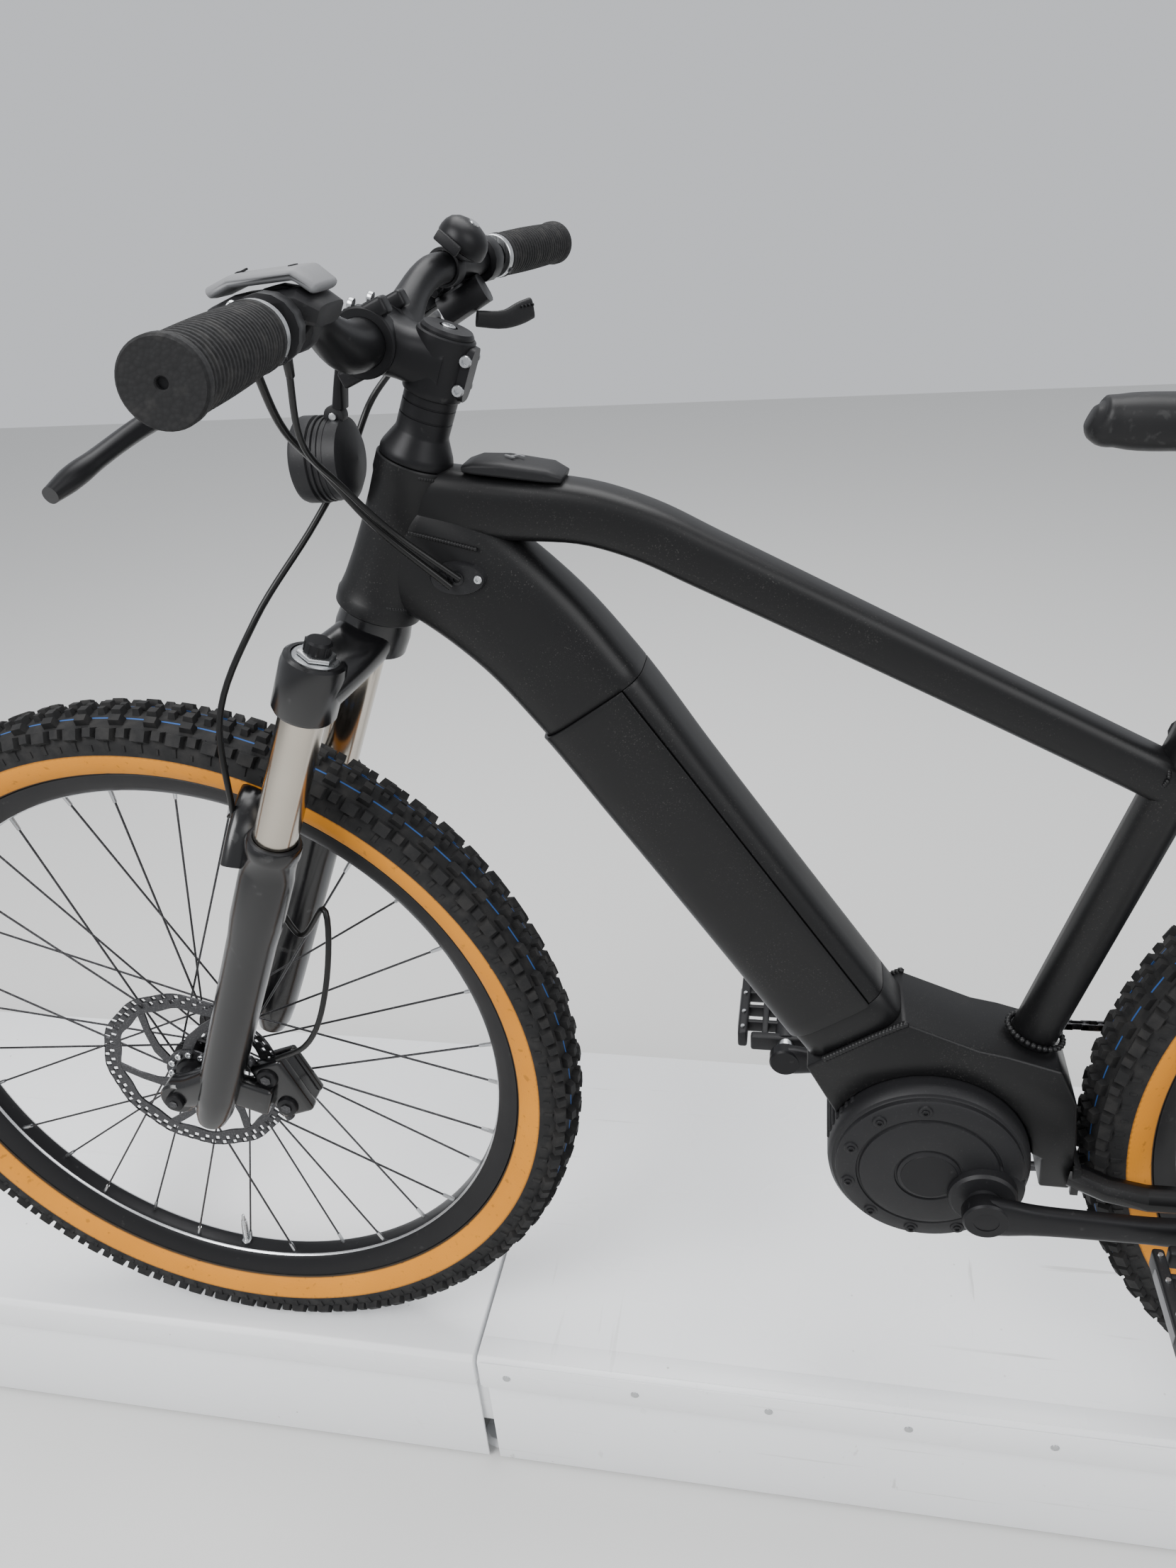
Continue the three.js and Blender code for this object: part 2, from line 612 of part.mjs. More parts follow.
function topTubeLine(grow) {
  return [
    { at: V(262, 0, 862), width: 40 + grow, height: 46 + grow, corner: 3.4 },
    { at: V(330, 0, 853), width: 42 + grow, height: 44 + grow, corner: 3.4 },
    { at: V(398, 0, 845), width: 41 + grow, height: 40 + grow, corner: 3.4 },
    { at: V(430, 0, 834), width: 40 + grow, height: 39 + grow, corner: 3.4 },
    { at: V(470, 0, 814), width: 38 + grow, height: 38 + grow, corner: 3.4 },
    { at: V(754, 0, 669), width: 34 + grow, height: 34 + grow, corner: 3.2 },
    { at: V(786, 0, 652.5), width: 34 + grow, height: 34 + grow, corner: 3.2 },
  ];
}

// Height of the top tube's upper face at a place near its front end.
function topTubeTop(x) {
  const line = topTubeLine(0);
  const [a, b] = x < line[1].at.x ? [line[0], line[1]] : [line[1], line[2]];
  const share = (x - a.at.x) / (b.at.x - a.at.x);
  const centre = a.at.z + share * (b.at.z - a.at.z);
  return centre + (a.height + share * (b.height - a.height)) / 2;
}

// Side view of a rear dropout, placed from the rear axle.
function dropoutOutline(grow) {
  const corners = [[-32, -20], [6, -24], [20, 0], [14, 22], [-10, 42], [-24, 38], [-32, 6]];
  return corners.map(([x, z]) => [
    WHEELBASE + x + Math.sign(x) * grow, AXLE_Z + z + Math.sign(z) * grow,
  ]);
}

function buildStays() {
  const inner = REAR_OLD / 2;
  let chainstays = rod(V(WHEELBASE, -inner - 13, AXLE_Z), V(WHEELBASE, inner + 13, AXLE_Z),
    AXLE_R, AXLE_R, 16);
  const yoke = box(V(757, -40, 292), V(763, 40, 320));
  for (const side of [-1, 1]) {
    const route = [
      V(757, side * 30, 306), V(796, side * 44, 302), V(866, side * 50, 308),
      V(974, side * 58, 320), V(1063, side * (inner + 6), 338), V(1097, side * (inner + 7), 346),
    ];
    const dropout = plate(dropoutOutline(0), side < 0 ? -inner - 12 : inner,
      side < 0 ? -inner : inner + 12);
    chainstays = join(chainstays, pipe(route, 10.5, 12, 10), dropout);
  }
  const rotorY = -(inner - ROTOR_INSET);
  const caliper = box(V(WHEELBASE - 90, rotorY - 19, 366), V(WHEELBASE - 56, rotorY + 12, 408));
  const strut = bar(V(WHEELBASE - 72, rotorY - 14, 372), V(WHEELBASE - 18, -inner - 6, 362), 9, 16);
  const slot = discSlot(rearAxle, rotorY);
  chainstays = join(chainstays, yoke, cut(join(caliper, strut), slot));
  const bracketKeepOut = box(V(690, -36, 286), V(758 + GAP, 36, 400));
  add(bicycle, 'chainstays', chainstays.subtract(bracketKeepOut), matteBlack);

  let seatstays = box(V(808, -40, 672), V(818, 40, 688));
  for (const side of [-1, 1]) {
    const route = [
      V(791, side * 22, 680), V(830, side * 37, 658), V(895, side * 45, 596),
      V(994, side * 57, 496), V(1073, side * (inner + 5), 418),
      V(WHEELBASE - 18, side * (inner + 6), 392),
    ];
    seatstays = seatstays.add(pipe(route, 8.5, 10, 10));
  }
  const keepOut = rod(seat(600), seat(760), SEAT_TUBE_R + GAP, SEAT_TUBE_R + GAP, 16);
  const topKeepOut = loft(topTubeLine(2 * GAP), 16);
  const lowKeepOut = plate(dropoutOutline(2 * GAP), -inner - 14, inner + 14);
  add(bicycle, 'seatstays', cut(seatstays, keepOut, topKeepOut, lowKeepOut), matteBlack);
}

// ---------------------------------------------------------------- saddle and post
function buildSaddle() {
  const head = seat(SADDLE_Z - 46);
  const post = rod(seat(560), head, SEAT_POST_R, SEAT_POST_R, 16);
  const clamp = box(V(head.x - 24, -22, head.z - 8), V(head.x + 24, 22, head.z + 12));
  add(bicycle, 'seatpost', join(post, clamp), satinBlack);
  const nose = head.x - 150;
  const stations = [
    [0, 16, 14, -2], [0.04, 32, 26, -5], [0.2, 42, 32, -7], [0.45, 62, 34, -6],
    [0.68, 112, 34, -5], [0.86, SADDLE_W, 34, -4], [0.97, SADDLE_W - 14, 30, -2], [1, 90, 18, 0],
  ].map(([share, width, height, sag]) => ({
    at: V(nose + share * SADDLE_L, 0, SADDLE_Z - 16 + sag + 4 * share),
    width, height, corner: 2.6,
  }));
  const cushion = loft(stations, 16);
  const under = box(V(nose - 10, -100, SADDLE_Z - 60), V(nose + SADDLE_L + 10, 100, head.z + 12.5));
  add(bicycle, 'saddle', cushion.subtract(under), moulded);
}

// ---------------------------------------------------------------- motor and drive
function buildDrive() {
  const motorC = V(MOTOR_X, 0, MOTOR_Z);
  const half = MOTOR_W / 2;
  const core = rod(V(motorC.x, -half + 8, motorC.z), V(motorC.x, half - 14, motorC.z),
    MOTOR_R, MOTOR_R, 20);
  const shaftCase = rod(V(BB_X, -half + 4, BB_Z), V(BB_X, half - 18, BB_Z), 34, 34, 16);
  const dome = turned([[0, 0], [MOTOR_R - 12, 0], [MOTOR_R - 3, -5], [MOTOR_R, -12], [0, -12]]
    .map(([radius, place]) => [radius, -place]), V(motorC.x, -half + 9, motorC.z).add(V(0, -9, 0)),
  V(motorC.x, 0, motorC.z), 20);
  const spindleBore = rod(V(BB_X, -80, BB_Z), V(BB_X, 80, BB_Z), 12.5 + GAP, 12.5 + GAP, 16);
  const motor = cut(join(core, shaftCase, dome), spindleBore);
  add(bicycle, 'motor_unit', motor, moulded);

  // Spindle and chainring turn together and carry both cranks.
  const inFace = CRANK_FACE - CRANK_T;
  const spindle = rod(V(BB_X, -inFace + GAP, BB_Z), V(BB_X, inFace - GAP, BB_Z), 12.5, 12.5, 16);
  const outline = circle(BB_X, BB_Z, CHAINRING_R + 3, CHAINRING_TEETH);
  const windows = [];
  for (let i = 0; i < 4; i += 1) {
    const start = (i / 4) * 2 * Math.PI + 0.3;
    const wide = Math.PI / 2 - 0.45;
    windows.push([...circle(BB_X, BB_Z, CHAINRING_R - 14, 5, start, wide),
      ...circle(BB_X, BB_Z, 36, 4, start + wide, -wide)]);
  }
  const ring = plate(outline, CHAINLINE - 1.5, CHAINLINE + 1.5, windows);
  add(bicycle, 'chainring', join(spindle, ring), darkSteel);

  for (const [name, side] of [['left', -1], ['right', 1]]) {
    const dx = -side * CRANK_L;
    const faceIn = side * inFace;
    const faceOut = side * CRANK_FACE;
    const mid = (faceIn + faceOut) / 2;
    const arm = loft([
      { at: V(BB_X - Math.sign(dx) * 17, mid, BB_Z), width: CRANK_T, height: 22, corner: 4 },
      { at: V(BB_X, mid, BB_Z), width: CRANK_T, height: 36, corner: 4 },
      { at: V(BB_X + dx * 0.2, mid, BB_Z), width: CRANK_T, height: 30, corner: 4 },
      { at: V(BB_X + dx * 0.85, mid, BB_Z), width: CRANK_T - 1, height: 24, corner: 4 },
      { at: V(BB_X + dx, mid, BB_Z), width: CRANK_T - 1, height: 26, corner: 3 },
      { at: V(BB_X + dx * 1.075, mid, BB_Z), width: CRANK_T - 2, height: 14, corner: 3 },
    ], 16);
    const eye = rod(V(BB_X + dx, faceIn - side * 3, BB_Z), V(BB_X + dx, faceOut + side * 3, BB_Z),
      6 + GAP, 6 + GAP, 16);
    add(bicycle, `crank_${name}`, arm.subtract(eye), matteBlack);

    const near = CRANK_FACE + 4;
    const centre = near + 6 + PEDAL_L / 2;
    const pin = rod(V(BB_X + dx, side * (inFace + 1), BB_Z), V(BB_X + dx, side * (near + 8), BB_Z),
      6, 6, 16);
    const body = box(V(BB_X + dx - PEDAL_W / 2, side * centre - PEDAL_L / 2, BB_Z - PEDAL_T / 2),
      V(BB_X + dx + PEDAL_W / 2, side * centre + PEDAL_L / 2, BB_Z + PEDAL_T / 2));
    let pedal = join(body, pin);
    for (const front of [-1, 1]) {
      const x = BB_X + dx + front * 24;
      pedal = pedal.subtract(box(V(x - 14, side * centre - 38, BB_Z - 30),
        V(x + 14, side * centre + 38, BB_Z + 30)));
    }
    add(bicycle, `pedal_${name}`, pedal, moulded);
  }

  buildChain();
}

// Chain loop over the chainring and the sprocket, running back past the derailleur's two wheels.
function buildChain() {
  const thick = 8;
  const wide = 6;
  const ringR = CHAINRING_R + 3 + GAP;
  const cogR = SPROCKET_R + GAP;
  const span = new THREE.Vector2(WHEELBASE - BB_X, AXLE_Z - BB_Z);
  const top = span.angle() + Math.PI / 2 - Math.asin((ringR - cogR) / span.length());
  const low = circle(BB_X, BB_Z, ringR / Math.cos(rad(6.6)), 14, top, rad(183.2));
  const jockey = V(WHEELBASE + 20, 0, AXLE_Z - 92);
  low.push([jockey.x - 70, jockey.z - 4]);
  low.push([jockey.x, jockey.z - 16]);
  low.push(...circle(WHEELBASE, AXLE_Z, cogR / Math.cos(rad(6.9)), 8, rad(-20), top + rad(20)));
  const outer = offsetOutline(low, thick);
  const ring = plate(outer, CHAINLINE - wide / 2, CHAINLINE + wide / 2, [low.slice().reverse()]);
  const cageZone = plate(low, CHAINLINE - wide, CHAINLINE + wide);
  add(bicycle, 'chain', ring.subtract(cageZone), darkSteel);

  const cage = plate([
    [WHEELBASE - 8, AXLE_Z - 56], [WHEELBASE + 16, AXLE_Z - 50], [WHEELBASE + 16, AXLE_Z - 74],
    [WHEELBASE - 8, AXLE_Z - 84],
  ], CHAINLINE - 7, CHAINLINE + 9);
  const hanger = plate([
    [WHEELBASE + 8, AXLE_Z - 28], [WHEELBASE + 30, AXLE_Z - 28], [WHEELBASE + 30, AXLE_Z - 66],
    [WHEELBASE + 10, AXLE_Z - 66],
  ], REAR_OLD / 2 + GAP, REAR_OLD / 2 + 10);
  const link = box(V(WHEELBASE + 2, CHAINLINE, AXLE_Z - 64),
    V(WHEELBASE + 14, REAR_OLD / 2 + 6, AXLE_Z - 56));
  add(bicycle, 'derailleur', join(cage, hanger, link), satinBlack);
}

// Outline moved outwards by a distance, point by point along the mean of the two edge normals.
function offsetOutline(points, distance) {
  let area = 0;
  points.forEach(([x, z], i) => {
    const [nx, nz] = points[(i + 1) % points.length];
    area += x * nz - nx * z;
  });
  const sign = area > 0 ? 1 : -1;
  return points.map(([x, z], i) => {
    const [px, pz] = points[(i + points.length - 1) % points.length];
    const [nx, nz] = points[(i + 1) % points.length];
    const before = new THREE.Vector2(z - pz, px - x).normalize();
    const after = new THREE.Vector2(nz - z, x - nx).normalize();
    const mean = before.add(after).normalize().multiplyScalar(sign * distance);
    return [x + mean.x, z + mean.y];
  });
}

// ---------------------------------------------------------------- cockpit
function gripLine(side) {
  const end = barPoint(BAR_W / 2, side);
  const start = barPoint(BAR_W / 2 - GRIP_L, side);
  return [start, end];
}

function buildCockpit() {
  const coverLow = HEAD_HIGH + GAP;
  const bore = STEERER_R + GAP;
  const coverTop = HEAD_HIGH + COVER_H;
  const spacerTop = STEM_LOW - GAP;
  const cover = turned([
    [bore, coverLow], [25.2, coverLow], [24.4, coverLow + 6], [18, coverTop], [18, spacerTop],
    [bore, spacerTop], [bore, coverLow],
  ], steer(0), steer(HEAD_HIGH), 16);
  add(bicycle, 'headset_cover', cover, satinBlack);

  const mid = STEM_LOW + STEM_H / 2;
  const clampBody = rod(steer(STEM_LOW), steer(STEM_TOP), 20, 19, 16);
  const arm = loft([
    { at: steer(mid, 0), width: 38, height: 36, corner: 3 },
    { at: steer(mid, STEM_REACH - 14), width: 34, height: 32, corner: 3 },
  ], 16);
  const face = rod(barCentre.clone().add(V(0, -25, 0)), barCentre.clone().add(V(0, 25, 0)),
    BAR_CLAMP_R + 6, BAR_CLAMP_R + 6, 16);
  const ears = bar(steer(mid, -23), steer(mid, -12), 18, 32);
  const steererBore = rod(steer(STEM_LOW - 9), steer(STEM_TOP - 0.7), bore, bore, 20);
  const barBore = rod(barCentre.clone().add(V(0, -60, 0)), barCentre.clone().add(V(0, 60, 0)),
    BAR_CLAMP_R + GAP, BAR_CLAMP_R + GAP, 24);
  const lampC = V(barCentre.x - 40, 0, barCentre.z - 76);
  const knuckle = lampC.clone().add(V(5, 0, LAMP_TAB - KNUCKLE_R));
  const lampArm = box(V(knuckle.x - 9, -7, knuckle.z + 2),
    V(barCentre.x + 4, 7, barCentre.z - BAR_CLAMP_R - 3));
  const seatR = (KNUCKLE_R + GAP) / Math.cos(rad(15));
  const knuckleSeat = rod(knuckle.clone().setY(-8), knuckle.clone().setY(8), seatR, seatR, 12);
  const lampHanger = lampArm.subtract(knuckleSeat);
  const stem = cut(join(clampBody, arm, face, ears, lampHanger), steererBore, barBore);
  add(bicycle, 'stem', stem, matteBlack);

  const stations = [];
  for (const side of [-1, 1]) {
    const places = [BAR_W / 2 - 2, 220, 150, BAR_BEND, 100, 75, 50, 34, 0];
    const list = side < 0 ? places : places.slice(0, -1).reverse();
    for (const distance of list) {
      const share = THREE.MathUtils.smoothstep(distance, 34, 110);
      const radius = BAR_CLAMP_R + (BAR_R - BAR_CLAMP_R) * share;
      stations.push({ at: barPoint(distance, side), width: 2 * radius, height: 2 * radius, corner: 2 });
    }
  }
  add(bicycle, 'handlebar', loft(stations, 16, V(1, 0, 0)), matteBlack);

  for (const [name, side] of [['left', -1], ['right', 1]]) {
    const [start, end] = gripLine(side);
    const length = start.distanceTo(end);
    const profile = [
      [BAR_R + GAP, 0], [17, 0], [17, 8], [GRIP_R - 1, 9], [GRIP_R, 30], [GRIP_R, length - 12],
      [GRIP_R + 3.5, length - 8], [GRIP_R + 3.5, length + 1], [3, length + 3], [3, length - 1],
      [BAR_R + GAP, length - 1], [BAR_R + GAP, 0],
    ];
    add(bicycle, `grip_${name}`, turned(profile, start, end, 16), blackRubber);
    buildBrake(name, side);
  }

  const bellAt = barPoint(BELL_Y, 1);
  const bellUp = V(Math.sin(rad(BELL_TILT)), 0, Math.cos(rad(BELL_TILT)));
  const bellFoot = bellAt.clone().addScaledVector(bellUp, BAR_R + 4);
  const strap = rod(bellAt.clone().add(V(0, -7, 0)), bellAt.clone().add(V(0, 7, 0)), 18, 18, 16);
  const dome = turned([[0, 0], [17, 0], [19, 3], [19, 12], [16, 18], [7, 21.5], [0, 22]],
    bellFoot, bellFoot.clone().add(bellUp), 20);
  const barZone = loft([
    { at: barPoint(BELL_Y - 40, 1), width: 28, height: 28, corner: 2 },
    { at: barPoint(BELL_Y - 15, 1), width: 24, height: 24, corner: 2 },
    { at: barPoint(BELL_Y + 40, 1), width: 23, height: 23, corner: 2 },
  ], 20, V(1, 0, 0));
  add(bicycle, 'bell', cut(join(strap, dome), barZone), satinBlack);
  const bellFore = V(-bellUp.z, 0, bellUp.x);
  const strikerPivot = bellFoot.clone().addScaledVector(bellUp, 4).add(V(0, -23, 0));
  const striker = bar(strikerPivot.clone().addScaledVector(bellFore, -6),
    strikerPivot.clone().addScaledVector(bellFore, 14), 4, 8);
  add(bicycle, 'bell_striker', striker, satinBlack);

  buildRemote();

  const lampBody = turned([
    [0, 0], [26, 0], [29, 4], [29, 28], [24, 40], [0, 42],
  ], lampC.clone().add(V(-24, 0, 0)), lampC.clone().add(V(10, 0, 0)), 16);
  const tab = box(lampC.clone().add(V(0, -5, 16)), knuckle.clone().add(V(5, 5, 0)));
  const tabTop = rod(knuckle.clone().setY(-5), knuckle.clone().setY(5), KNUCKLE_R, KNUCKLE_R, 12);
  add(bicycle, 'lamp', join(lampBody, tab, tabTop), moulded);

  buildCables();
}

// Brake lever: clamp and body on the bar, and the blade on its pivot.
function buildBrake(name, side) {
  const clampAt = barPoint(LEVER_Y, side);
  const nextTo = barPoint(LEVER_Y + 14, side);
  const ring = rod(clampAt, nextTo, 17, 17, 16);
  const body = loft([
    { at: clampAt.clone().add(V(-8, side * 7, -4)), width: 18, height: 20, corner: 3 },
    { at: clampAt.clone().add(V(-38, side * 2, -22)), width: 22, height: 22, corner: 3 },
    { at: clampAt.clone().add(V(-52, -side * 4, -32)), width: 18, height: 20, corner: 3 },
  ], 12);
  const tank = rod(clampAt.clone().add(V(-26, -side * 18, -14)),
    clampAt.clone().add(V(-30, side * 6, -16)), 9, 10, 16);
  const barZone = loft([
    { at: barPoint(LEVER_Y - 30, side), width: 23, height: 23, corner: 2 },
    { at: barPoint(LEVER_Y + 50, side), width: 23, height: 23, corner: 2 },
  ], 20, V(1, 0, 0));
  let whole = join(ring, body, tank);
  if (side > 0) {
    const pod = loft([
      { at: clampAt.clone().add(V(10, -22, -18)), width: 30, height: 22, corner: 3 },
      { at: clampAt.clone().add(V(-22, -26, -34)), width: 34, height: 24, corner: 3 },
    ], 12);
    whole = whole.add(pod);
  }
  const pivot = bladePivot(clampAt, side);
  const slotHalf = BLADE_EYE / 2 + 2 * GAP;
  const bladeZone = rod(pivot.clone().addScaledVector(LEVER_UP, -slotHalf),
    pivot.clone().addScaledVector(LEVER_UP, slotHalf), BLADE_SLOT_R, BLADE_SLOT_R, 12);
  add(bicycle, `brake_body_${name}`, cut(whole, barZone, bladeZone), satinBlack);
  add(bicycle, `brake_blade_${name}`, bladeShape(clampAt, side), satinBlack);
  if (side > 0) {
    const at = clampAt.clone().add(V(6, -28, -39));
    const lever = loft([
      { at: at.clone(), width: 12, height: 5, corner: 3 },
      { at: at.clone().add(V(16, 12, -3)), width: 14, height: 5, corner: 3 },
      { at: at.clone().add(V(34, 34, 2)), width: 17, height: 6, corner: 3 },
    ], 12, V(-0.7, 0.7, 0));
    add(bicycle, 'shifter_lever', lever, satinBlack);
  }
}

function bladeShape(clampAt, side) {
  const pivot = bladePivot(clampAt, side);
  return loft([
    { at: pivot.clone().add(V(4, -side * 8, 2)), width: 10, height: BLADE_EYE, corner: 3 },
    { at: pivot.clone().add(V(-6, side * 14, -4)), width: 10, height: BLADE_EYE, corner: 3 },
    { at: pivot.clone().add(V(-16, side * 40, -10)), width: 8, height: 14, corner: 3 },
    { at: pivot.clone().add(V(-24, side * 74, -18)), width: 8, height: 16, corner: 3 },
    { at: pivot.clone().add(V(-32, side * 96, -24)), width: 9, height: 15, corner: 2.4 },
  ], 12, V(LEVER_UP.z, 0, -LEVER_UP.x));
}

function bladePivot(clampAt, side) {
  return clampAt.clone().add(V(-44, -side * 2, -28));
}

// Control unit beside the left grip: a base on the bar and a rocker with plus and minus.
function buildRemote() {
  const at = barPoint(160, -1);
  const clampRing = rod(at.clone().add(V(0, -6, 0)), at.clone().add(V(0, 6, 0)), 17, 17, 16);
  const sections = [[-34, 3, 34, 12], [-20, 6, 40, 16], [14, 7, 40, 18], [24, 2, 34, 12]];
  const base = loft(sections.map(([x, z, width, height]) => (
    { at: at.clone().add(V(x, 0, z)), width, height, corner: 4 })), 12);
  const barZone = loft([
    { at: barPoint(120, -1), width: 28, height: 28, corner: 2 },
    { at: barPoint(150, -1), width: 23.4, height: 23.4, corner: 2 },
    { at: barPoint(200, -1), width: 23, height: 23, corner: 2 },
  ], 20, V(1, 0, 0));
  add(bicycle, 'remote', cut(join(clampRing, base), barZone), moulded);
  const rocker = loft(sections.map(([x, z, width, height]) => ({
    at: at.clone().add(V(x, 0, z + height / 2 + ROCKER_GAP + ROCKER_T / 2)),
    width: width - 2,
    height: ROCKER_T,
    corner: 4,
  })), 12);
  add(bicycle, 'remote_rocker', rocker, greyPlastic);
}

// Hoses and cables, each held at both ends and by its guide.
function buildCables() {
  const leftBrake = barPoint(LEVER_Y - 40, -1).add(V(-27, 0, -17));
  const port = V(300, -33, 806);
  const hoseRear = [
    leftBrake, V(236, -108, 928), V(236, -66, 896), V(256, -48, 856), port,
  ];
  add(bicycle, 'hose_rear', pipe(hoseRear, 2.5, 22, 8), cableJacket);
  const motorLead = [
    barPoint(152, -1).add(V(-6, 0, -20)), V(250, -116, 920), V(250, -72, 886), V(268, -50, 852),
    V(307, -34, 812),
  ];
  add(bicycle, 'remote_cable', pipe(motorLead, 2, 22, 8), cableJacket);
  const rightBrake = barPoint(LEVER_Y - 36, 1).add(V(-27, 0, -17));
  const hoseFront = [
    rightBrake, V(238, 100, 936), V(228, 52, 912), V(214, 37, 880), V(192, 10, 842),
    V(150, -30, 782), steer(LEG_HIGH + 70, 84, -44), steer(LEG_HIGH + 8, 62, -50),
    steer(LEG_HIGH - 40, 50, -39), steer(LEG_HIGH - 80, 16, -37), steer(LEG_HIGH - 104, -12, -39),
    V(164, -48, 545), V(158, -60, 475), V(128, -62, 412), V(96, -56, 390),
  ];
  add(bicycle, 'hose_front', pipe(hoseFront, 2.5, 44, 8), cableJacket);
  const shift = [
    barPoint(LEVER_Y - 40, 1).add(V(-18, 0, -40)), V(244, 108, 930), V(262, 66, 888),
    V(296, 40, 846), V(324, 27, 822),
  ];
  add(bicycle, 'shift_cable', pipe(shift, 2.2, 22, 8), cableJacket);
}

// ---------------------------------------------------------------- display platform
function buildPlatform() {
  const backY = DECK_FRONT_Y + DECK_DEPTH;
  const ends = [DECK_SEAM_X - MODULE_L, DECK_SEAM_X, DECK_SEAM_X + MODULE_L];
  const names = ['front', 'rear'];
  names.forEach((name, i) => {
    const low = ends[i] + SEAM_GAP / 2;
    const high = ends[i + 1] - SEAM_GAP / 2;
    const pan = box(V(low, DECK_FRONT_Y, -LIP_H), V(high, backY, 0));
    const hollow = box(V(low + SHEET, DECK_FRONT_Y + SHEET, -LIP_H - 10),
      V(high - SHEET, backY - SHEET, -SHEET));
    const chamfer = cornerPrism(low - 5, high + 5, DECK_FRONT_Y, 0, 6);
    add(platform, `deck_${name}`, cut(pan, hollow, chamfer), whitePaint);
    const face = box(V(low + 4, DECK_FRONT_Y + 10, -PLATFORM_H + 4),
      V(high - 4, DECK_FRONT_Y + 10 + SHEET, -LIP_H - GAP));
    add(platform, `kick_plate_${name}`, face, whitePaint);
  });

  // Legs under each module end on levelling feet, tied by a rail along the back.
  let frame = box(V(ends[0] + 20, backY - 36, -PLATFORM_H + 60), V(ends[2] - 20, backY - 12, -60));
  for (const [i, x] of ends.entries()) {
    const centre = x + (i === 0 ? 40 : i === 2 ? -40 : 0);
    const beam = box(V(centre - 15, DECK_FRONT_Y + 16, -PLATFORM_H + 60),
      V(centre + 15, backY - 14, -SHEET - GAP));
    frame = frame.add(beam);
    for (const y of [DECK_FRONT_Y + 40, backY - 60]) {
      frame = frame.add(rod(V(centre, y, -PLATFORM_H + 8), V(centre, y, -PLATFORM_H + 70), 5, 5, 8));
      frame = frame.add(rod(V(centre, y, -PLATFORM_H), V(centre, y, -PLATFORM_H + 9), 19, 15, 12));
    }
  }
  const skirt = SHEET + SEAM_GAP / 2 + 1;
  frame = frame.subtract(box(V(ends[1] - skirt, DECK_FRONT_Y - 5, -LIP_H - 1),
    V(ends[1] + skirt, backY + 5, 5)));
  add(platform, 'base_frame', frame, whitePaint);
  buildWheelStand();
}

// Triangular prism that takes a sharp edge off along X.
function cornerPrism(low, high, y, z, size) {
  const shape = new THREE.Shape([
    new THREE.Vector2(y - 1, z + 1), new THREE.Vector2(y + size, z + 1),
    new THREE.Vector2(y - 1, z - size),
  ]);
  const geometry = new THREE.ExtrudeGeometry(shape, { depth: high - low, bevelEnabled: false });
  const basis = new THREE.Matrix4().makeBasis(AXIS_Y, V(0, 0, 1), V(1, 0, 0));
  geometry.applyMatrix4(basis);
  geometry.translate(low, 0, 0);
  return solid(geometry);
}

// Tubular stand that holds the rear wheel upright between two hoops.
function buildWheelStand() {
  const r = HOOP_R;
  const y = TYRE_W / 2 + 4 + r;
  const floor = r + 5;
  const half = HOOP_L / 2;
  let stand = null;
  for (const side of [-1, 1]) {
    const hoop = pipe([
      V(WHEELBASE - half, side * y, floor), V(WHEELBASE - half, side * y, HOOP_H - 64),
      V(WHEELBASE - half + 14, side * y, HOOP_H - 18), V(WHEELBASE - half + 58, side * y, HOOP_H),
      V(WHEELBASE + half - 58, side * y, HOOP_H), V(WHEELBASE + half - 14, side * y, HOOP_H - 18),
      V(WHEELBASE + half, side * y, HOOP_H - 64), V(WHEELBASE + half, side * y, floor),
    ], r, 12, 8);
    stand = stand ? stand.add(hoop) : hoop;
  }
  const ends = [-y - r, STAND_W - y - r];
  for (const x of [WHEELBASE - half, WHEELBASE + half]) {
    stand = stand.add(box(V(x - r, ends[0], floor - r), V(x + r, ends[1], floor + r)));
    for (const end of [ends[0] + 12, ends[1] - 12]) {
      stand = stand.add(rod(V(x, end, GAP), V(x, end, floor), 10, 9, 10));
    }
  }
  add(platform, 'wheel_stand', stand, satinBlack);
}

buildWheels();
buildFork();
buildFrame();
buildSaddle();
buildDrive();
buildCockpit();
buildPlatform();

// ---------------------------------------------------------------- whole object
const assembly = new THREE.Group();
assembly.add(bicycle, platform);
const bounds = new THREE.Box3().setFromObject(assembly);
const middle = bounds.getCenter(new THREE.Vector3());
assembly.position.set(-middle.x, -middle.y, -bounds.min.z);

const bicycleOnStand = new THREE.Group();
bicycleOnStand.add(assembly);
export default bicycleOnStand;
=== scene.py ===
"""Looks of a hardtail electric mountain bicycle that stands on a low display platform."""
import math
import random

import bmesh
import bpy
from mathutils import Matrix, Vector
from mathutils.bvhtree import BVHTree


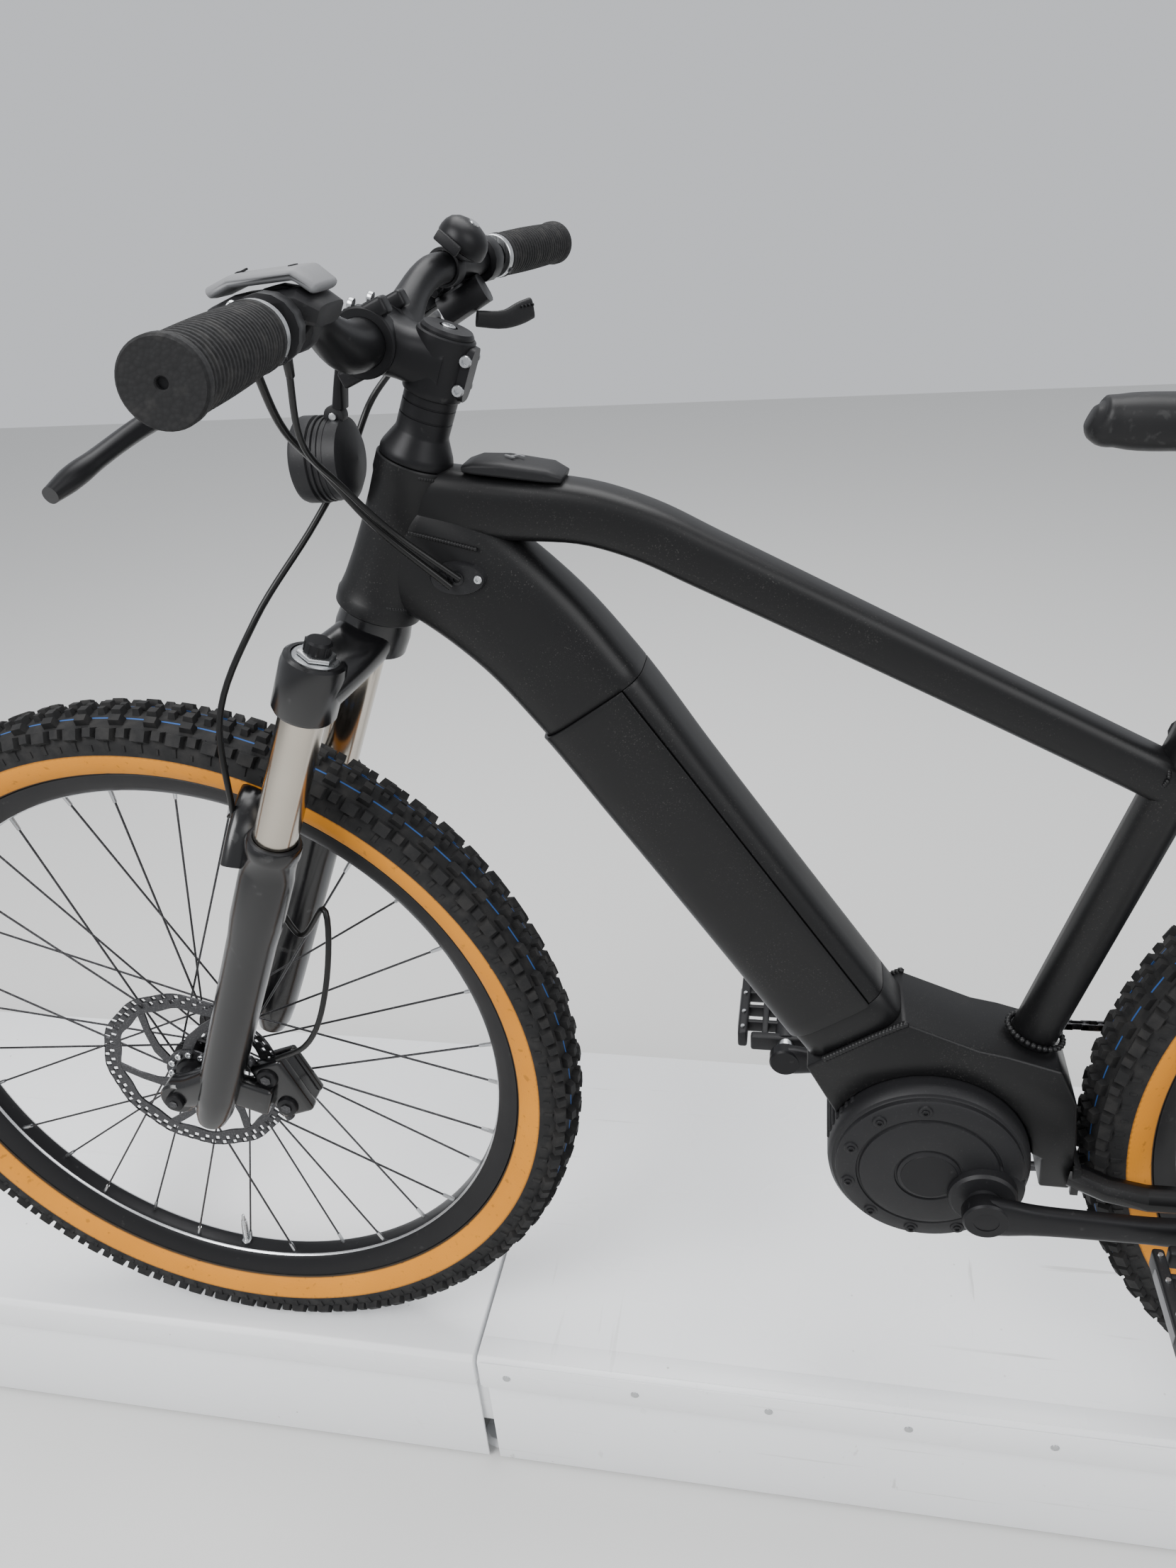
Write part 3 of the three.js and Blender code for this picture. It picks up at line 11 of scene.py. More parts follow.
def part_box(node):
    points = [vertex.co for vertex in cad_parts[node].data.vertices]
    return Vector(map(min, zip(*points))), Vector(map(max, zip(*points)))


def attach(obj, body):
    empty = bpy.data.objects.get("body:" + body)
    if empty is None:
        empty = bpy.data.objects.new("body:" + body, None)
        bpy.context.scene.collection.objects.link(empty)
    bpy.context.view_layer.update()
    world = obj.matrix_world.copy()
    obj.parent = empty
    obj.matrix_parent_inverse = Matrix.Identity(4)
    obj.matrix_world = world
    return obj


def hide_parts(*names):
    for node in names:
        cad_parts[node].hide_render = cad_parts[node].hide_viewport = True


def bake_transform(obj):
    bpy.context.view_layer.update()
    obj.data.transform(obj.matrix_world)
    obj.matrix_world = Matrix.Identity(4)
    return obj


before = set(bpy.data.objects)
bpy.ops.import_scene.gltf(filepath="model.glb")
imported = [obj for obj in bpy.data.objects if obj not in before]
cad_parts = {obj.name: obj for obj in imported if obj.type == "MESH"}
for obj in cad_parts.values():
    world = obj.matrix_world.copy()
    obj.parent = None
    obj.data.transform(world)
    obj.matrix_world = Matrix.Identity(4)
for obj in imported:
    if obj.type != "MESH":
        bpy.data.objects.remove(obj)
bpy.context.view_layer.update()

bl_info = {
    "name": "Bicycle on display platform",
    "version": (1, 0, 0),
    "blender": (4, 5, 0),
    "location": "View3D > Sidebar > Bicycle",
    "description": "Builds the looks of a mountain bicycle and its platform around a fixed frame",
    "category": "Object",
}

# ---------------------------------------------------------------- places from the frame
MM = 0.001
AXIS_X = Vector((1, 0, 0))
AXIS_Y = Vector((0, 1, 0))
AXIS_Z = Vector((0, 0, 1))
HANDS = {-1: "left", 1: "right"}


def middle(node):
    """Centre of a packed node's box."""
    low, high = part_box(node)
    return (Vector(low) + Vector(high)) / 2


FRONT_AXLE = middle("front_hub")
REAR_AXLE = middle("rear_hub")
CRANK_AXIS = middle("chainring")
DECK_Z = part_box("deck_front")[1][2]
AXLE_HEIGHT = (FRONT_AXLE.z - DECK_Z) / MM
WHEELBASE = (REAR_AXLE.x - FRONT_AXLE.x) / MM
ZERO = Vector((FRONT_AXLE.x, FRONT_AXLE.y, DECK_Z))


def at(x, y, z):
    """Point in metres, from millimetres behind, right of and above the front tyre's foot."""
    return ZERO + Vector((x, y, z)) * MM


ROTOR_R = (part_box("front_rotor")[1][0] - FRONT_AXLE.x) / MM
HEAD_ANGLE = math.radians(67.5)
FORK_OFFSET = 50
UP = Vector((math.cos(HEAD_ANGLE), 0, math.sin(HEAD_ANGLE)))
AHEAD = Vector((-math.sin(HEAD_ANGLE), 0, math.cos(HEAD_ANGLE)))
LEG_AHEAD = 18
LEG_SIDE = 65
CROWN_HIGH = 466
STEM_LOW = 645
STEM_TOP = 685
LEG_HIGH = 304


def steer(place, ahead=0, side=0):
    """Point by its place up the steering axis, ahead of it and to the side, in millimetres."""
    foot = FRONT_AXLE - AHEAD * FORK_OFFSET * MM
    return foot + (UP * place + AHEAD * ahead + AXIS_Y * side) * MM


BAR_MIDDLE = steer((STEM_LOW + STEM_TOP) / 2, 45)
BAR_BEND = 125
BAR_RISE = 30
BAR_SWEEP = math.tan(math.radians(10))
BAR_HALF = 350
GRIP_L = 132
LEVER_Y = 192


def bar_point(distance, side):
    """Centre of the handlebar at a distance from the middle plane."""
    share = min(max((distance - 36) / (BAR_BEND - 36), 0), 1)
    ramp = share * share * (3 - 2 * share)
    outer = max(distance - BAR_BEND * 0.62, 0)
    return BAR_MIDDLE + Vector((outer * BAR_SWEEP * ramp, side * distance, BAR_RISE * ramp)) * MM


SEAT_ANGLE = math.radians(73.5)
SEAT_UP = Vector((math.cos(SEAT_ANGLE), 0, math.sin(SEAT_ANGLE)))
BB_Z = (CRANK_AXIS.z - DECK_Z) / MM


def seat(height):
    """Point on the seat tube's centre line at a height above the deck in millimetres."""
    return CRANK_AXIS + SEAT_UP * (height - BB_Z) * MM / SEAT_UP.z - AXIS_Y * (
        CRANK_AXIS.y - FRONT_AXLE.y)


# ---------------------------------------------------------------- sizes and colours
class BicycleSizes(bpy.types.PropertyGroup):
    """Sizes and colours that a user would change."""

    knobs: bpy.props.IntProperty(
        name="Knob rows", description="Rows of knobs round a tyre", default=72, min=24)
    spokes: bpy.props.IntProperty(
        name="Spokes", description="Spokes in a wheel", default=32, min=16)
    links: bpy.props.FloatProperty(
        name="Chain pitch", description="Distance between rollers", default=0.0127, unit="LENGTH")
    teeth: bpy.props.IntProperty(
        name="Chainring teeth", description="Teeth on the chainring", default=38, min=20)
    grip_ribs: bpy.props.IntProperty(
        name="Grip ribs", description="Raised ribs along a grip", default=22, min=4)
    sidewall: bpy.props.FloatVectorProperty(
        name="Sidewall", description="Colour of the tyre wall", subtype="COLOR", size=3,
        default=(0.62, 0.235, 0.012), min=0, max=1)
    paint: bpy.props.FloatVectorProperty(
        name="Frame paint", description="Colour of the frame", subtype="COLOR", size=3,
        default=(0.0042, 0.0042, 0.0046), min=0, max=1)
    platform: bpy.props.FloatVectorProperty(
        name="Platform paint", description="Colour of the platform", subtype="COLOR", size=3,
        default=(0.80, 0.81, 0.82), min=0, max=1)


# ---------------------------------------------------------------- shader building
class Wire:
    """An output socket that takes arithmetic."""

    def __init__(self, paint, socket):
        self.paint = paint
        self.socket = socket

    def math(self, operation, other=0.0, swap=False):
        values = {0: other, 1: self} if swap else {0: self, 1: other}
        return self.paint.node("ShaderNodeMath", {"operation": operation}, values)

    def __add__(self, other):
        return self.math("ADD", other)

    def __radd__(self, other):
        return self.math("ADD", other)

    def __sub__(self, other):
        return self.math("SUBTRACT", other)

    def __rsub__(self, other):
        return self.math("SUBTRACT", other, swap=True)

    def __mul__(self, other):
        return self.math("MULTIPLY", other)

    def __rmul__(self, other):
        return self.math("MULTIPLY", other)

    def over(self, level, soft):
        """0 below a level and 1 above it, with a soft step."""
        return self.paint.node("ShaderNodeMapRange", {"clamp": True},
                               {0: self, 1: level - soft, 2: level + soft})

    def near(self, level, width):
        """1 within a width of a level and 0 elsewhere."""
        return 1 - (self - level).math("ABSOLUTE").over(width, width * 0.3)


class Paint:
    """A material whose varying values come from expressions."""

    def __init__(self, name, color, roughness, metallic=0.0, **constants):
        self.material = bpy.data.materials.new(name)
        self.material.use_nodes = True
        self.tree = self.material.node_tree
        self.shader = self.tree.nodes["Principled BSDF"]
        self.color = tuple(color) + (1.0,)
        self.set("Base Color", self.color)
        self.set("Roughness", roughness)
        self.set("Metallic", metallic)
        self.set("Specular IOR Level", 0.26)
        for key, value in constants.items():
            self.set(key.replace("_", " "), value)
        place = self.tree.nodes.new("ShaderNodeTexCoord")
        self.place = Wire(self, place.outputs["Object"])

    def feed(self, socket, value):
        if isinstance(value, Wire):
            self.tree.links.new(value.socket, socket)
        else:
            socket.default_value = value

    def set(self, name, value):
        self.feed(self.shader.inputs[name], value)

    def node(self, kind, settings=None, inputs=None, output=0):
        made = self.tree.nodes.new(kind)
        for key, value in (settings or {}).items():
            setattr(made, key, value)
        for key, value in (inputs or {}).items():
            self.feed(made.inputs[key], value)
        return Wire(self, made.outputs[output])

    def stretched(self, scale):
        """Object coordinates scaled along each axis."""
        return self.node("ShaderNodeMapping", None, {"Vector": self.place, "Scale": scale})

    def noise(self, scale, detail=3.0, where=None):
        return self.node("ShaderNodeTexNoise", None, {
            "Vector": where or self.place, "Scale": scale, "Detail": detail})

    def cells(self, scale, feature="F1", where=None):
        return self.node("ShaderNodeTexVoronoi", {"feature": feature}, {
            "Vector": where or self.place, "Scale": scale})

    def axis(self, index):
        return self.node("ShaderNodeSeparateXYZ", None, {0: self.place}, output=index)

    def tint(self, factor, other, first=None):
        """Colour mixed towards another colour by a factor."""
        base = self.color if first is None else first
        other = other if isinstance(other, Wire) else tuple(other) + (1.0,)
        return self.node("ShaderNodeMix", {"data_type": "RGBA"}, {0: factor, 6: base, 7: other},
                         output=2)

    def bump(self, height, distance, strength=1.0, below=None):
        inputs = {"Height": height, "Distance": distance, "Strength": strength}
        if below is not None:
            inputs["Normal"] = below
        made = self.node("ShaderNodeBump", None, inputs)
        self.set("Normal", made)
        return made


PAINTS = {}


def frame_paint():
    paint = Paint("frame_paint", bpy.context.scene.bicycle_sizes.paint, 0.4)
    dust = paint.noise(900, 2).over(0.67, 0.05) * paint.noise(25, 2).over(0.5, 0.15)
    paint.set("Base Color", paint.tint(dust * 0.5, (0.06, 0.058, 0.055)))
    paint.set("Roughness", 0.34 + paint.noise(14) * 0.12 + dust * 0.15)
    paint.bump(paint.noise(2600, 1), 0.00002, 0.6)
    return paint.material


def nickel():
    paint = Paint("polished_nickel", (0.46, 0.42, 0.36), 0.16, 1.0)
    lines = paint.noise(1.0, 3, paint.stretched((40, 40, 2500)))
    paint.set("Roughness", 0.1 + lines * 0.14)
    paint.set("Base Color", paint.tint(paint.noise(30) * 0.5, (0.34, 0.31, 0.27)))
    paint.bump(lines, 0.00001, 0.4)
    return paint.material


def steel():
    paint = Paint("bare_steel", (0.5, 0.51, 0.52), 0.3, 1.0)
    lines = paint.noise(1.0, 3, paint.stretched((900, 900, 60)))
    paint.set("Roughness", 0.2 + lines * 0.2)
    paint.bump(lines, 0.00002, 0.5)
    return paint.material


def dark_steel():
    paint = Paint("dark_steel", (0.05, 0.05, 0.053), 0.38, 0.9)
    lines = paint.noise(1.0, 4, paint.stretched((700, 60, 700)))
    paint.set("Roughness", 0.28 + lines * 0.22)
    paint.set("Base Color", paint.tint(lines.over(0.6, 0.1) * 0.6, (0.14, 0.14, 0.145)))
    paint.bump(lines, 0.00003, 0.5)
    return paint.material


def tread_rubber():
    paint = Paint("tread_rubber", (0.0095, 0.0095, 0.0098), 0.75)
    off = (paint.axis(1) - FRONT_AXLE.y).math("ABSOLUTE")
    line = off.near(0.0108, 0.0006)
    dusty = paint.noise(70, 4).over(0.56, 0.1)
    greyed = paint.tint(dusty * 0.35, (0.034, 0.032, 0.03))
    paint.set("Base Color", paint.tint(line, (0.02, 0.075, 0.24), greyed))
    paint.set("Roughness", 0.66 + paint.noise(120) * 0.25)
    paint.bump(paint.noise(700, 3), 0.0002, 0.6)
    return paint.material


def sidewall(name, axle):
    color = tuple(bpy.context.scene.bicycle_sizes.sidewall)
    paint = Paint(name, color, 0.62)
    x = paint.axis(0) - axle.x
    z = paint.axis(2) - axle.z
    turn = paint.node("ShaderNodeMath", {"operation": "ARCTAN2"}, {0: z, 1: x})
    reach = (x * x + z * z).math("SQRT")
    threads = (turn * 1500 + reach * 2600).math("SINE") * (turn * 1500 - reach * 2600).math("SINE")
    shade = paint.noise(9, 4).over(0.5, 0.2)
    stained = paint.tint(shade * 0.5, (color[0] * 0.72, color[1] * 0.66, color[2] * 0.6))
    fine = paint.tint(threads.over(0.2, 0.5) * 0.22, (0.34, 0.12, 0.008), stained)
    # Darker in a soft band up to the tread rubber, in a thin band where the wall meets the rim, and
    # in small dark specks.
    edge = reach.over(0.3175, 0.0014)
    bead = 1 - reach.over(0.2975, 0.0006)
    dark_bands_and_specks = edge + bead + paint.noise(160, 4).over(0.66, 0.04) * 0.35
    paint.set("Base Color", paint.tint(dark_bands_and_specks.over(0.5, 0.45), (0.03, 0.018, 0.008), fine))
    paint.set("Roughness", 0.55 + paint.noise(80) * 0.2)
    ribs = (turn * 360).math("SINE") * reach.near(0.3185, 0.0025)
    paint.bump(threads * 0.12 + ribs, 0.00025, 0.7)
    return paint.material


def grip_rubber():
    paint = Paint("grip_rubber", (0.009, 0.009, 0.0095), 0.7)
    pips = paint.cells(520)
    dusty = paint.noise(90, 3).over(0.6, 0.08)
    paint.set("Base Color", paint.tint(dusty * 0.3, (0.05, 0.048, 0.045)))
    paint.set("Roughness", 0.62 + pips * 0.25)
    paint.bump(1 - pips, 0.0003, 0.6)
    return paint.material


def lens():
    paint = Paint("lamp_lens", (0.03, 0.032, 0.035), 0.08, 0.0, Coat_Weight=1.0)
    rings = paint.cells(420)
    paint.set("Base Color", paint.tint(rings.over(0.5, 0.3) * 0.5, (0.25, 0.26, 0.28)))
    paint.bump(rings, 0.0002, 0.5)
    return paint.material


def white_coat():
    color = tuple(bpy.context.scene.bicycle_sizes.platform)
    paint = Paint("white_powder_coat", color, 0.28)
    streak = paint.noise(1.0, 5, paint.stretched((3, 90, 90))).over(0.66, 0.02)
    cross = paint.noise(1.0, 5, paint.stretched((70, 5, 30))).over(0.7, 0.02)
    patch = paint.noise(3.2, 3).over(0.56, 0.12)
    scuffs = (streak + cross) * patch
    specks = (1 - paint.cells(55).over(0.06, 0.02)) * paint.noise(9, 2).over(0.6, 0.05)
    film = paint.tint(paint.noise(4, 4).over(0.5, 0.25) * 0.3, tuple(0.88 * c for c in color))
    worn = paint.tint(scuffs.over(0.5, 0.4) * 0.45, (0.38, 0.375, 0.36), film)
    paint.set("Base Color", paint.tint(specks * 0.6, (0.2, 0.19, 0.17), worn))
    paint.set("Roughness", 0.2 + paint.noise(6, 3) * 0.16 + scuffs * 0.3)
    paint.bump(paint.noise(420, 2), 0.00005, 0.35)
    return paint.material


# Name, colour, gloss (low, scale, span), rubbed patches (scale, detail, level, soft, share,
# grey), grain (pattern, scale, its detail or feature, depth, strength) and fixed values.
PLAIN_FINISHES = {
    "fork": ("fork_paint", (0.004, 0.004, 0.0045), (0.16, 22, 0.14),
             (60, 4, 0.68, 0.03, 0.35, 0.05), ("noise", 2200, 1, 0.00002, 0.6),
             {"Specular_IOR_Level": 0.5}),
    "anodised": ("anodised_black", (0.0095, 0.0095, 0.0105), (0.32, 35, 0.16),
                 (120, 4, 0.7, 0.03, 0.4, 0.04), ("noise", 3200, 1, 0.00003, 0.7),
                 {"Metallic": 0.4}),
    "moulded": ("moulded_black", (0.0085, 0.0085, 0.0095), (0.42, 45, 0.16),
                (500, 2, 0.68, 0.04, 0.3, 0.03), ("cells", 1500, "F1", 0.00006, 0.5), {}),
    "grey": ("grey_keypad", (0.17, 0.172, 0.178), (0.42, 60, 0.2), None,
             ("cells", 1800, "F1", 0.00005, 0.5), {}),
    "saddle": ("saddle_cover", (0.006, 0.006, 0.0065), (0.36, 30, 0.18),
               (200, 3, 0.64, 0.06, 0.3, 0.045),
               ("cells", 900, "DISTANCE_TO_EDGE", 0.00008, 0.5), {}),
    "jacket": ("cable_jacket", (0.006, 0.006, 0.006), (0.24, 70, 0.16), None,
               ("noise", 1500, 2, 0.00003, 0.5), {}),
    "weld": ("painted_weld", (0.0075, 0.0075, 0.008), (0.3, 300, 0.2), None,
             ("noise", 900, 2, 0.00008, 0.6), {}),
}


def plain_finish(name, color, gloss, rubbed, grain, constants):
    """Finish with uneven gloss, rubbed patches and a fine grain."""
    low, scale, span = gloss
    paint = Paint(name, color, low, **constants)
    paint.set("Roughness", low + paint.noise(scale) * span)
    if rubbed:
        scale, detail, level, soft, share, grey = rubbed
        patches = paint.noise(scale, detail).over(level, soft)
        paint.set("Base Color", paint.tint(patches * share, (grey,) * 3))
    pattern, scale, kind, depth, strength = grain
    paint.bump(getattr(paint, pattern)(scale, kind), depth, strength)
    return paint.material


def make_paints():
    PAINTS.update({key: plain_finish(*values) for key, values in PLAIN_FINISHES.items()})
    PAINTS.update({
        "frame": frame_paint(), "nickel": nickel(), "steel": steel(), "dark": dark_steel(),
        "tread": tread_rubber(), "wall_front": sidewall("amber_wall_front", FRONT_AXLE),
        "wall_rear": sidewall("amber_wall_rear", REAR_AXLE), "grip": grip_rubber(),
        "lens": lens(), "white": white_coat(),
    })


# ---------------------------------------------------------------- mesh building
def piece(name, bm, paints, body, nodes=(), smooth=38):
    """Turn a bmesh into a piece that rides on a body and stands for some nodes."""
    bmesh.ops.recalc_face_normals(bm, faces=bm.faces)
    mesh = bpy.data.meshes.new(name)
    bm.to_mesh(mesh)
    bm.free()
    for key in paints:
        mesh.materials.append(PAINTS[key])
    for polygon in mesh.polygons:
        polygon.use_smooth = True
    mesh.set_sharp_from_angle(angle=math.radians(smooth))
    made = bpy.data.objects.new(name, mesh)
    bpy.context.scene.collection.objects.link(made)
    if body:
        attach(made, body)
    if nodes:
        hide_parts(*nodes)
    return made


def unique(items):
    """Items once each, in the order they came."""
    return list(dict.fromkeys(items))


def edges_of(verts):
    return unique(edge for vert in verts for edge in vert.link_edges)


def faces_of(verts):
    return unique(face for vert in verts for face in vert.link_faces)


def eased(bm, edges, size, segments=2):
    """Bevel edges by a size in millimetres."""
    bmesh.ops.bevel(bm, geom=edges, offset=size * MM, segments=segments, profile=0.5,
                    affect="EDGES", clamp_overlap=True, material=-1)


def sharp_edges(bm_edges, degrees):
    """Edges between two faces that meet at more than an angle."""
    return [edge for edge in bm_edges if len(edge.link_faces) == 2
            and edge.calc_face_angle(0) > math.radians(degrees)]


def painted(faces, index):
    for face in faces:
        face.material_index = index


def rounded(bm, verts, radius, segments=2):
    """Bevel the edges of a loose block."""
    eased(bm, sharp_edges(edges_of(verts), 30), radius, segments)


def cuboid(bm, size, taper):
    """Block at the origin whose top narrows by a taper."""
    verts = bmesh.ops.create_cube(bm, size=1)["verts"]
    for vert in verts:
        shrink = taper if vert.co.z > 0 else 1.0
        vert.co = Vector((vert.co.x * size[0] * shrink, vert.co.y * size[1] * shrink,
                          vert.co.z * size[2])) * MM
    return verts


def block(bm, centre, size, turn=None, radius=0.0, segments=2, index=0, taper=1.0):
    """Rectangular block of a size in millimetres, turned about its centre."""
    verts = cuboid(bm, size, taper)
    matrix = Matrix.Translation(centre) @ (turn.to_4x4() if turn else Matrix.Identity(4))
    bmesh.ops.transform(bm, matrix=matrix, verts=verts)
    painted(faces_of(verts), index)
    if radius:
        rounded(bm, verts, radius, segments)
    return verts


def rod(bm, start, end, radius, end_radius=None, sides=16, bevel=0.0, index=0):
    """Round bar between two points."""
    line = end - start
    turn = AXIS_Z.rotation_difference(line.normalized()).to_matrix().to_4x4()
    matrix = Matrix.Translation((start + end) / 2) @ turn
    verts = bmesh.ops.create_cone(
        bm, cap_ends=True, cap_tris=False, segments=sides, radius1=radius * MM,
        radius2=(radius if end_radius is None else end_radius) * MM, depth=line.length,
        matrix=matrix)["verts"]
    painted(faces_of(verts), index)
    if bevel:
        rims = [edge for face in faces_of(verts) if len(face.verts) == sides for edge in face.edges]
        eased(bm, unique(rims), bevel)
    return verts


def revolve(bm, profile, foot, axis, steps=48, closed=True, index=0):
    """Turn a profile of (radius, place) in millimetres about an axis through a foot point."""
    turn = AXIS_Z.rotation_difference(axis)
    verts = [bm.verts.new(foot + turn @ Vector((radius, 0, place)) * MM)
             for radius, place in profile]
    pairs = list(zip(verts, verts[1:]))
    if closed:
        pairs.append((verts[-1], verts[0]))
    edges = [bm.edges.new(pair) for pair in pairs]
    known = set(bm.faces)
    bmesh.ops.spin(bm, geom=verts + edges, cent=foot, axis=axis, dvec=(0, 0, 0),
                   angle=2 * math.pi, steps=steps, use_merge=True, use_duplicate=False)
    made = [face for face in bm.faces if face not in known]
    tip = [vert for face in made for vert in face.verts]
    bmesh.ops.remove_doubles(bm, verts=unique(tip), dist=1e-6)
    made = [face for face in bm.faces if face not in known]
    painted(made, index)
    return made


def section(bm, station, side, up, sides):
    """One rounded rectangular ring of a skin."""
    place, width, height, corner = station
    verts = bmesh.ops.create_circle(bm, cap_ends=False, radius=1, segments=sides)["verts"]
    power = 2 / corner
    for vert in verts:
        length = math.hypot(vert.co.x, vert.co.y)
        c, s = vert.co.x / length, vert.co.y / length
        y = math.copysign(abs(c) ** power, c) * width / 2
        z = math.copysign(abs(s) ** power, s) * height / 2
        vert.co = place + (side * y + up * z) * MM
    return edges_of(verts)


def skin(bm, stations, sides=24, across=AXIS_Y, index=0):
    """Bridge rounded sections of (point, width, height, corner) laid along a path."""
    loops = []
    up = None
    for i, station in enumerate(stations):
        before = stations[max(i - 1, 0)][0]
        after = stations[min(i + 1, len(stations) - 1)][0]
        forward = (after - before).normalized()
        if across is None:
            near = up if up else (AXIS_Y if abs(forward.y) < 0.8 else AXIS_X)
            side = forward.cross(near).normalized()
            up = side.cross(forward).normalized()
        else:
            up = forward.cross(across).normalized()
            side = up.cross(forward).normalized()
        loops.append(section(bm, station, side, up, sides))
    known = set(bm.faces)
    for first, second in zip(loops, loops[1:]):
        bmesh.ops.bridge_loops(bm, edges=first + second)
    for loop in (loops[0], loops[-1]):
        bmesh.ops.edgeloop_fill(bm, edges=loop)
    made = [face for face in bm.faces if face not in known]
    painted(made, index)
    return made


def flowing(stations, per=6):
    """More sections between the given ones, on a curve with chord-length tangents."""
    keys = [tuple(station[0]) + tuple(station[1:]) for station in stations]
    gaps = [max((stations[i + 1][0] - stations[i][0]).length, 1e-6) for i in range(len(keys) - 1)]

    def tangent(i, item):
        if i == 0:
            return (keys[1][item] - keys[0][item]) / gaps[0]
        if i == len(keys) - 1:
            return (keys[-1][item] - keys[-2][item]) / gaps[-1]
        behind = (keys[i][item] - keys[i - 1][item]) / gaps[i - 1]
        front = (keys[i + 1][item] - keys[i][item]) / gaps[i]
        return (behind * gaps[i] + front * gaps[i - 1]) / (gaps[i - 1] + gaps[i])

    out = []
    for i, gap in enumerate(gaps):
        for k in range(per):
            t = k / per
            a, b = 2 * t ** 3 - 3 * t ** 2 + 1, t ** 3 - 2 * t ** 2 + t
            c, d = -2 * t ** 3 + 3 * t ** 2, t ** 3 - t ** 2
            row = [a * keys[i][n] + b * gap * tangent(i, n) + c * keys[i + 1][n]
                   + d * gap * tangent(i + 1, n) for n in range(len(keys[i]))]
            out.append((Vector(row[:3]), *row[3:]))
    out.append((Vector(keys[-1][:3]), *keys[-1][3:]))
    return out


def tube(bm, points, radius, sides=12, per=5, index=0):
    """Round cord along a smooth route."""
    stations = [(point, 2 * radius, 2 * radius, 2) for point in points]
    return skin(bm, flowing(stations, per), sides, None, index)


def round_spot(centre, reach, angle, y=0.0):
    """Point at a reach and an angle round a centre, in a plane across Y."""
    return centre + Vector((reach * math.cos(angle), y, reach * math.sin(angle))) * MM


def wavy_ring(bm, centre, segments, y, reach_at, cap=False):
    """Ring of points whose reach follows a function of the angle."""
    verts = bmesh.ops.create_circle(bm, cap_ends=cap, radius=1, segments=segments)["verts"]
    for vert in verts:
        angle = math.atan2(vert.co.y, vert.co.x)
        vert.co = round_spot(centre, reach_at(angle), angle, y)
    return verts


def thickened(bm, faces, depth, keep=False):
    """Extrude faces along Y by a depth in millimetres."""
    grown = bmesh.ops.extrude_face_region(bm, geom=faces, use_keep_orig=keep)["geom"]
    moved = [item for item in grown if isinstance(item, bmesh.types.BMVert)]
    bmesh.ops.translate(bm, verts=moved, vec=AXIS_Y * depth * MM)


def copies_round(bm, verts, centre, axis, count):
    """Repeat loose geometry evenly round an axis."""
    geom = list(verts) + edges_of(verts) + faces_of(verts)
    bmesh.ops.spin(bm, geom=geom, cent=centre, axis=axis, dvec=(0, 0, 0),
                   angle=2 * math.pi * (count - 1) / count, steps=count - 1, use_merge=False,
                   use_duplicate=True)


def refined(node, paint, body, bevel=0.5, name=None, smooth=36):
    """Copy of a packed node with merged faces, eased edges and a material."""
    bm = bmesh.new()
    bm.from_mesh(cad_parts[node].data)
    bmesh.ops.remove_doubles(bm, verts=bm.verts, dist=1e-6)
    bmesh.ops.dissolve_limit(bm, angle_limit=math.radians(1.5), verts=bm.verts, edges=bm.edges)
    if bevel:
        eased(bm, sharp_edges(bm.edges, smooth), bevel)
    return piece(name or node + "_finished", bm, [paint], body, [node], smooth)


def screw(bm, place, axis, radius=4.0, height=3.0, index=0):
    """Socket screw: a round head with a hexagonal recess."""
    profile = [(0.01, 0), (radius, 0), (radius, height * 0.75), (radius * 0.86, height),
               (radius * 0.52, height), (radius * 0.5, height * 0.35), (0.01, height * 0.35)]
    revolve(bm, profile, place, axis, 12, closed=False, index=index)


def beads(bm, points, radius, index=0):
    """Row of overlapping flattened drops, as a weld leaves."""
    for point, following in zip(points, points[1:]):
        steps = max(int((following - point).length / (radius * MM * 0.9)), 1)
        for k in range(steps):
            spot = point.lerp(following, k / steps)
            verts = bmesh.ops.create_icosphere(bm, subdivisions=1, radius=radius * MM,
                                               matrix=Matrix.Translation(spot))["verts"]
            painted(faces_of(verts), index)


# ---------------------------------------------------------------- wheels
KNOB_TAPER = 0.78
# Share of a step round the tyre, reach, distance from the middle, size and lean of each block.
KNOBS = ((0, 335.5, 25.6, (15, 11, 8.5), -1.05), (0.5, 336.5, 24.6, (9, 9, 8), -1.05),
         (0.2, 344, 16.0, (12, 7.5, 6.5), -0.5), (0.1, 346.4, 5.4, (9.5, 8.6, 6.8), -0.1),
         (0.6, 346.0, 3.8, (6.5, 6.0, 6.0), 0.0), (0, 326.0, 27.9, (4, 9, 1.6), -1.52),
         (0.5, 324.5, 28.0, (2.5, 6, 1.4), -1.52))
HAIRS = 46
ROTOR_BOLTS_R = 22
ROTOR_ARM_SHARES = (0, 0.33, 0.66, 1)


def knob(bm, axle, angle, reach, y, size, lean=0.0):
    """One rubber block: size is (along the tread, across it, height)."""
    verts = cuboid(bm, size, KNOB_TAPER)
    matrix = (Matrix.Translation(axle) @ Matrix.Rotation(angle, 4, "Y")
              @ Matrix.Translation(Vector((0, y, reach)) * MM) @ Matrix.Rotation(lean, 4, "X"))
    bmesh.ops.transform(bm, matrix=matrix, verts=verts)
    return verts


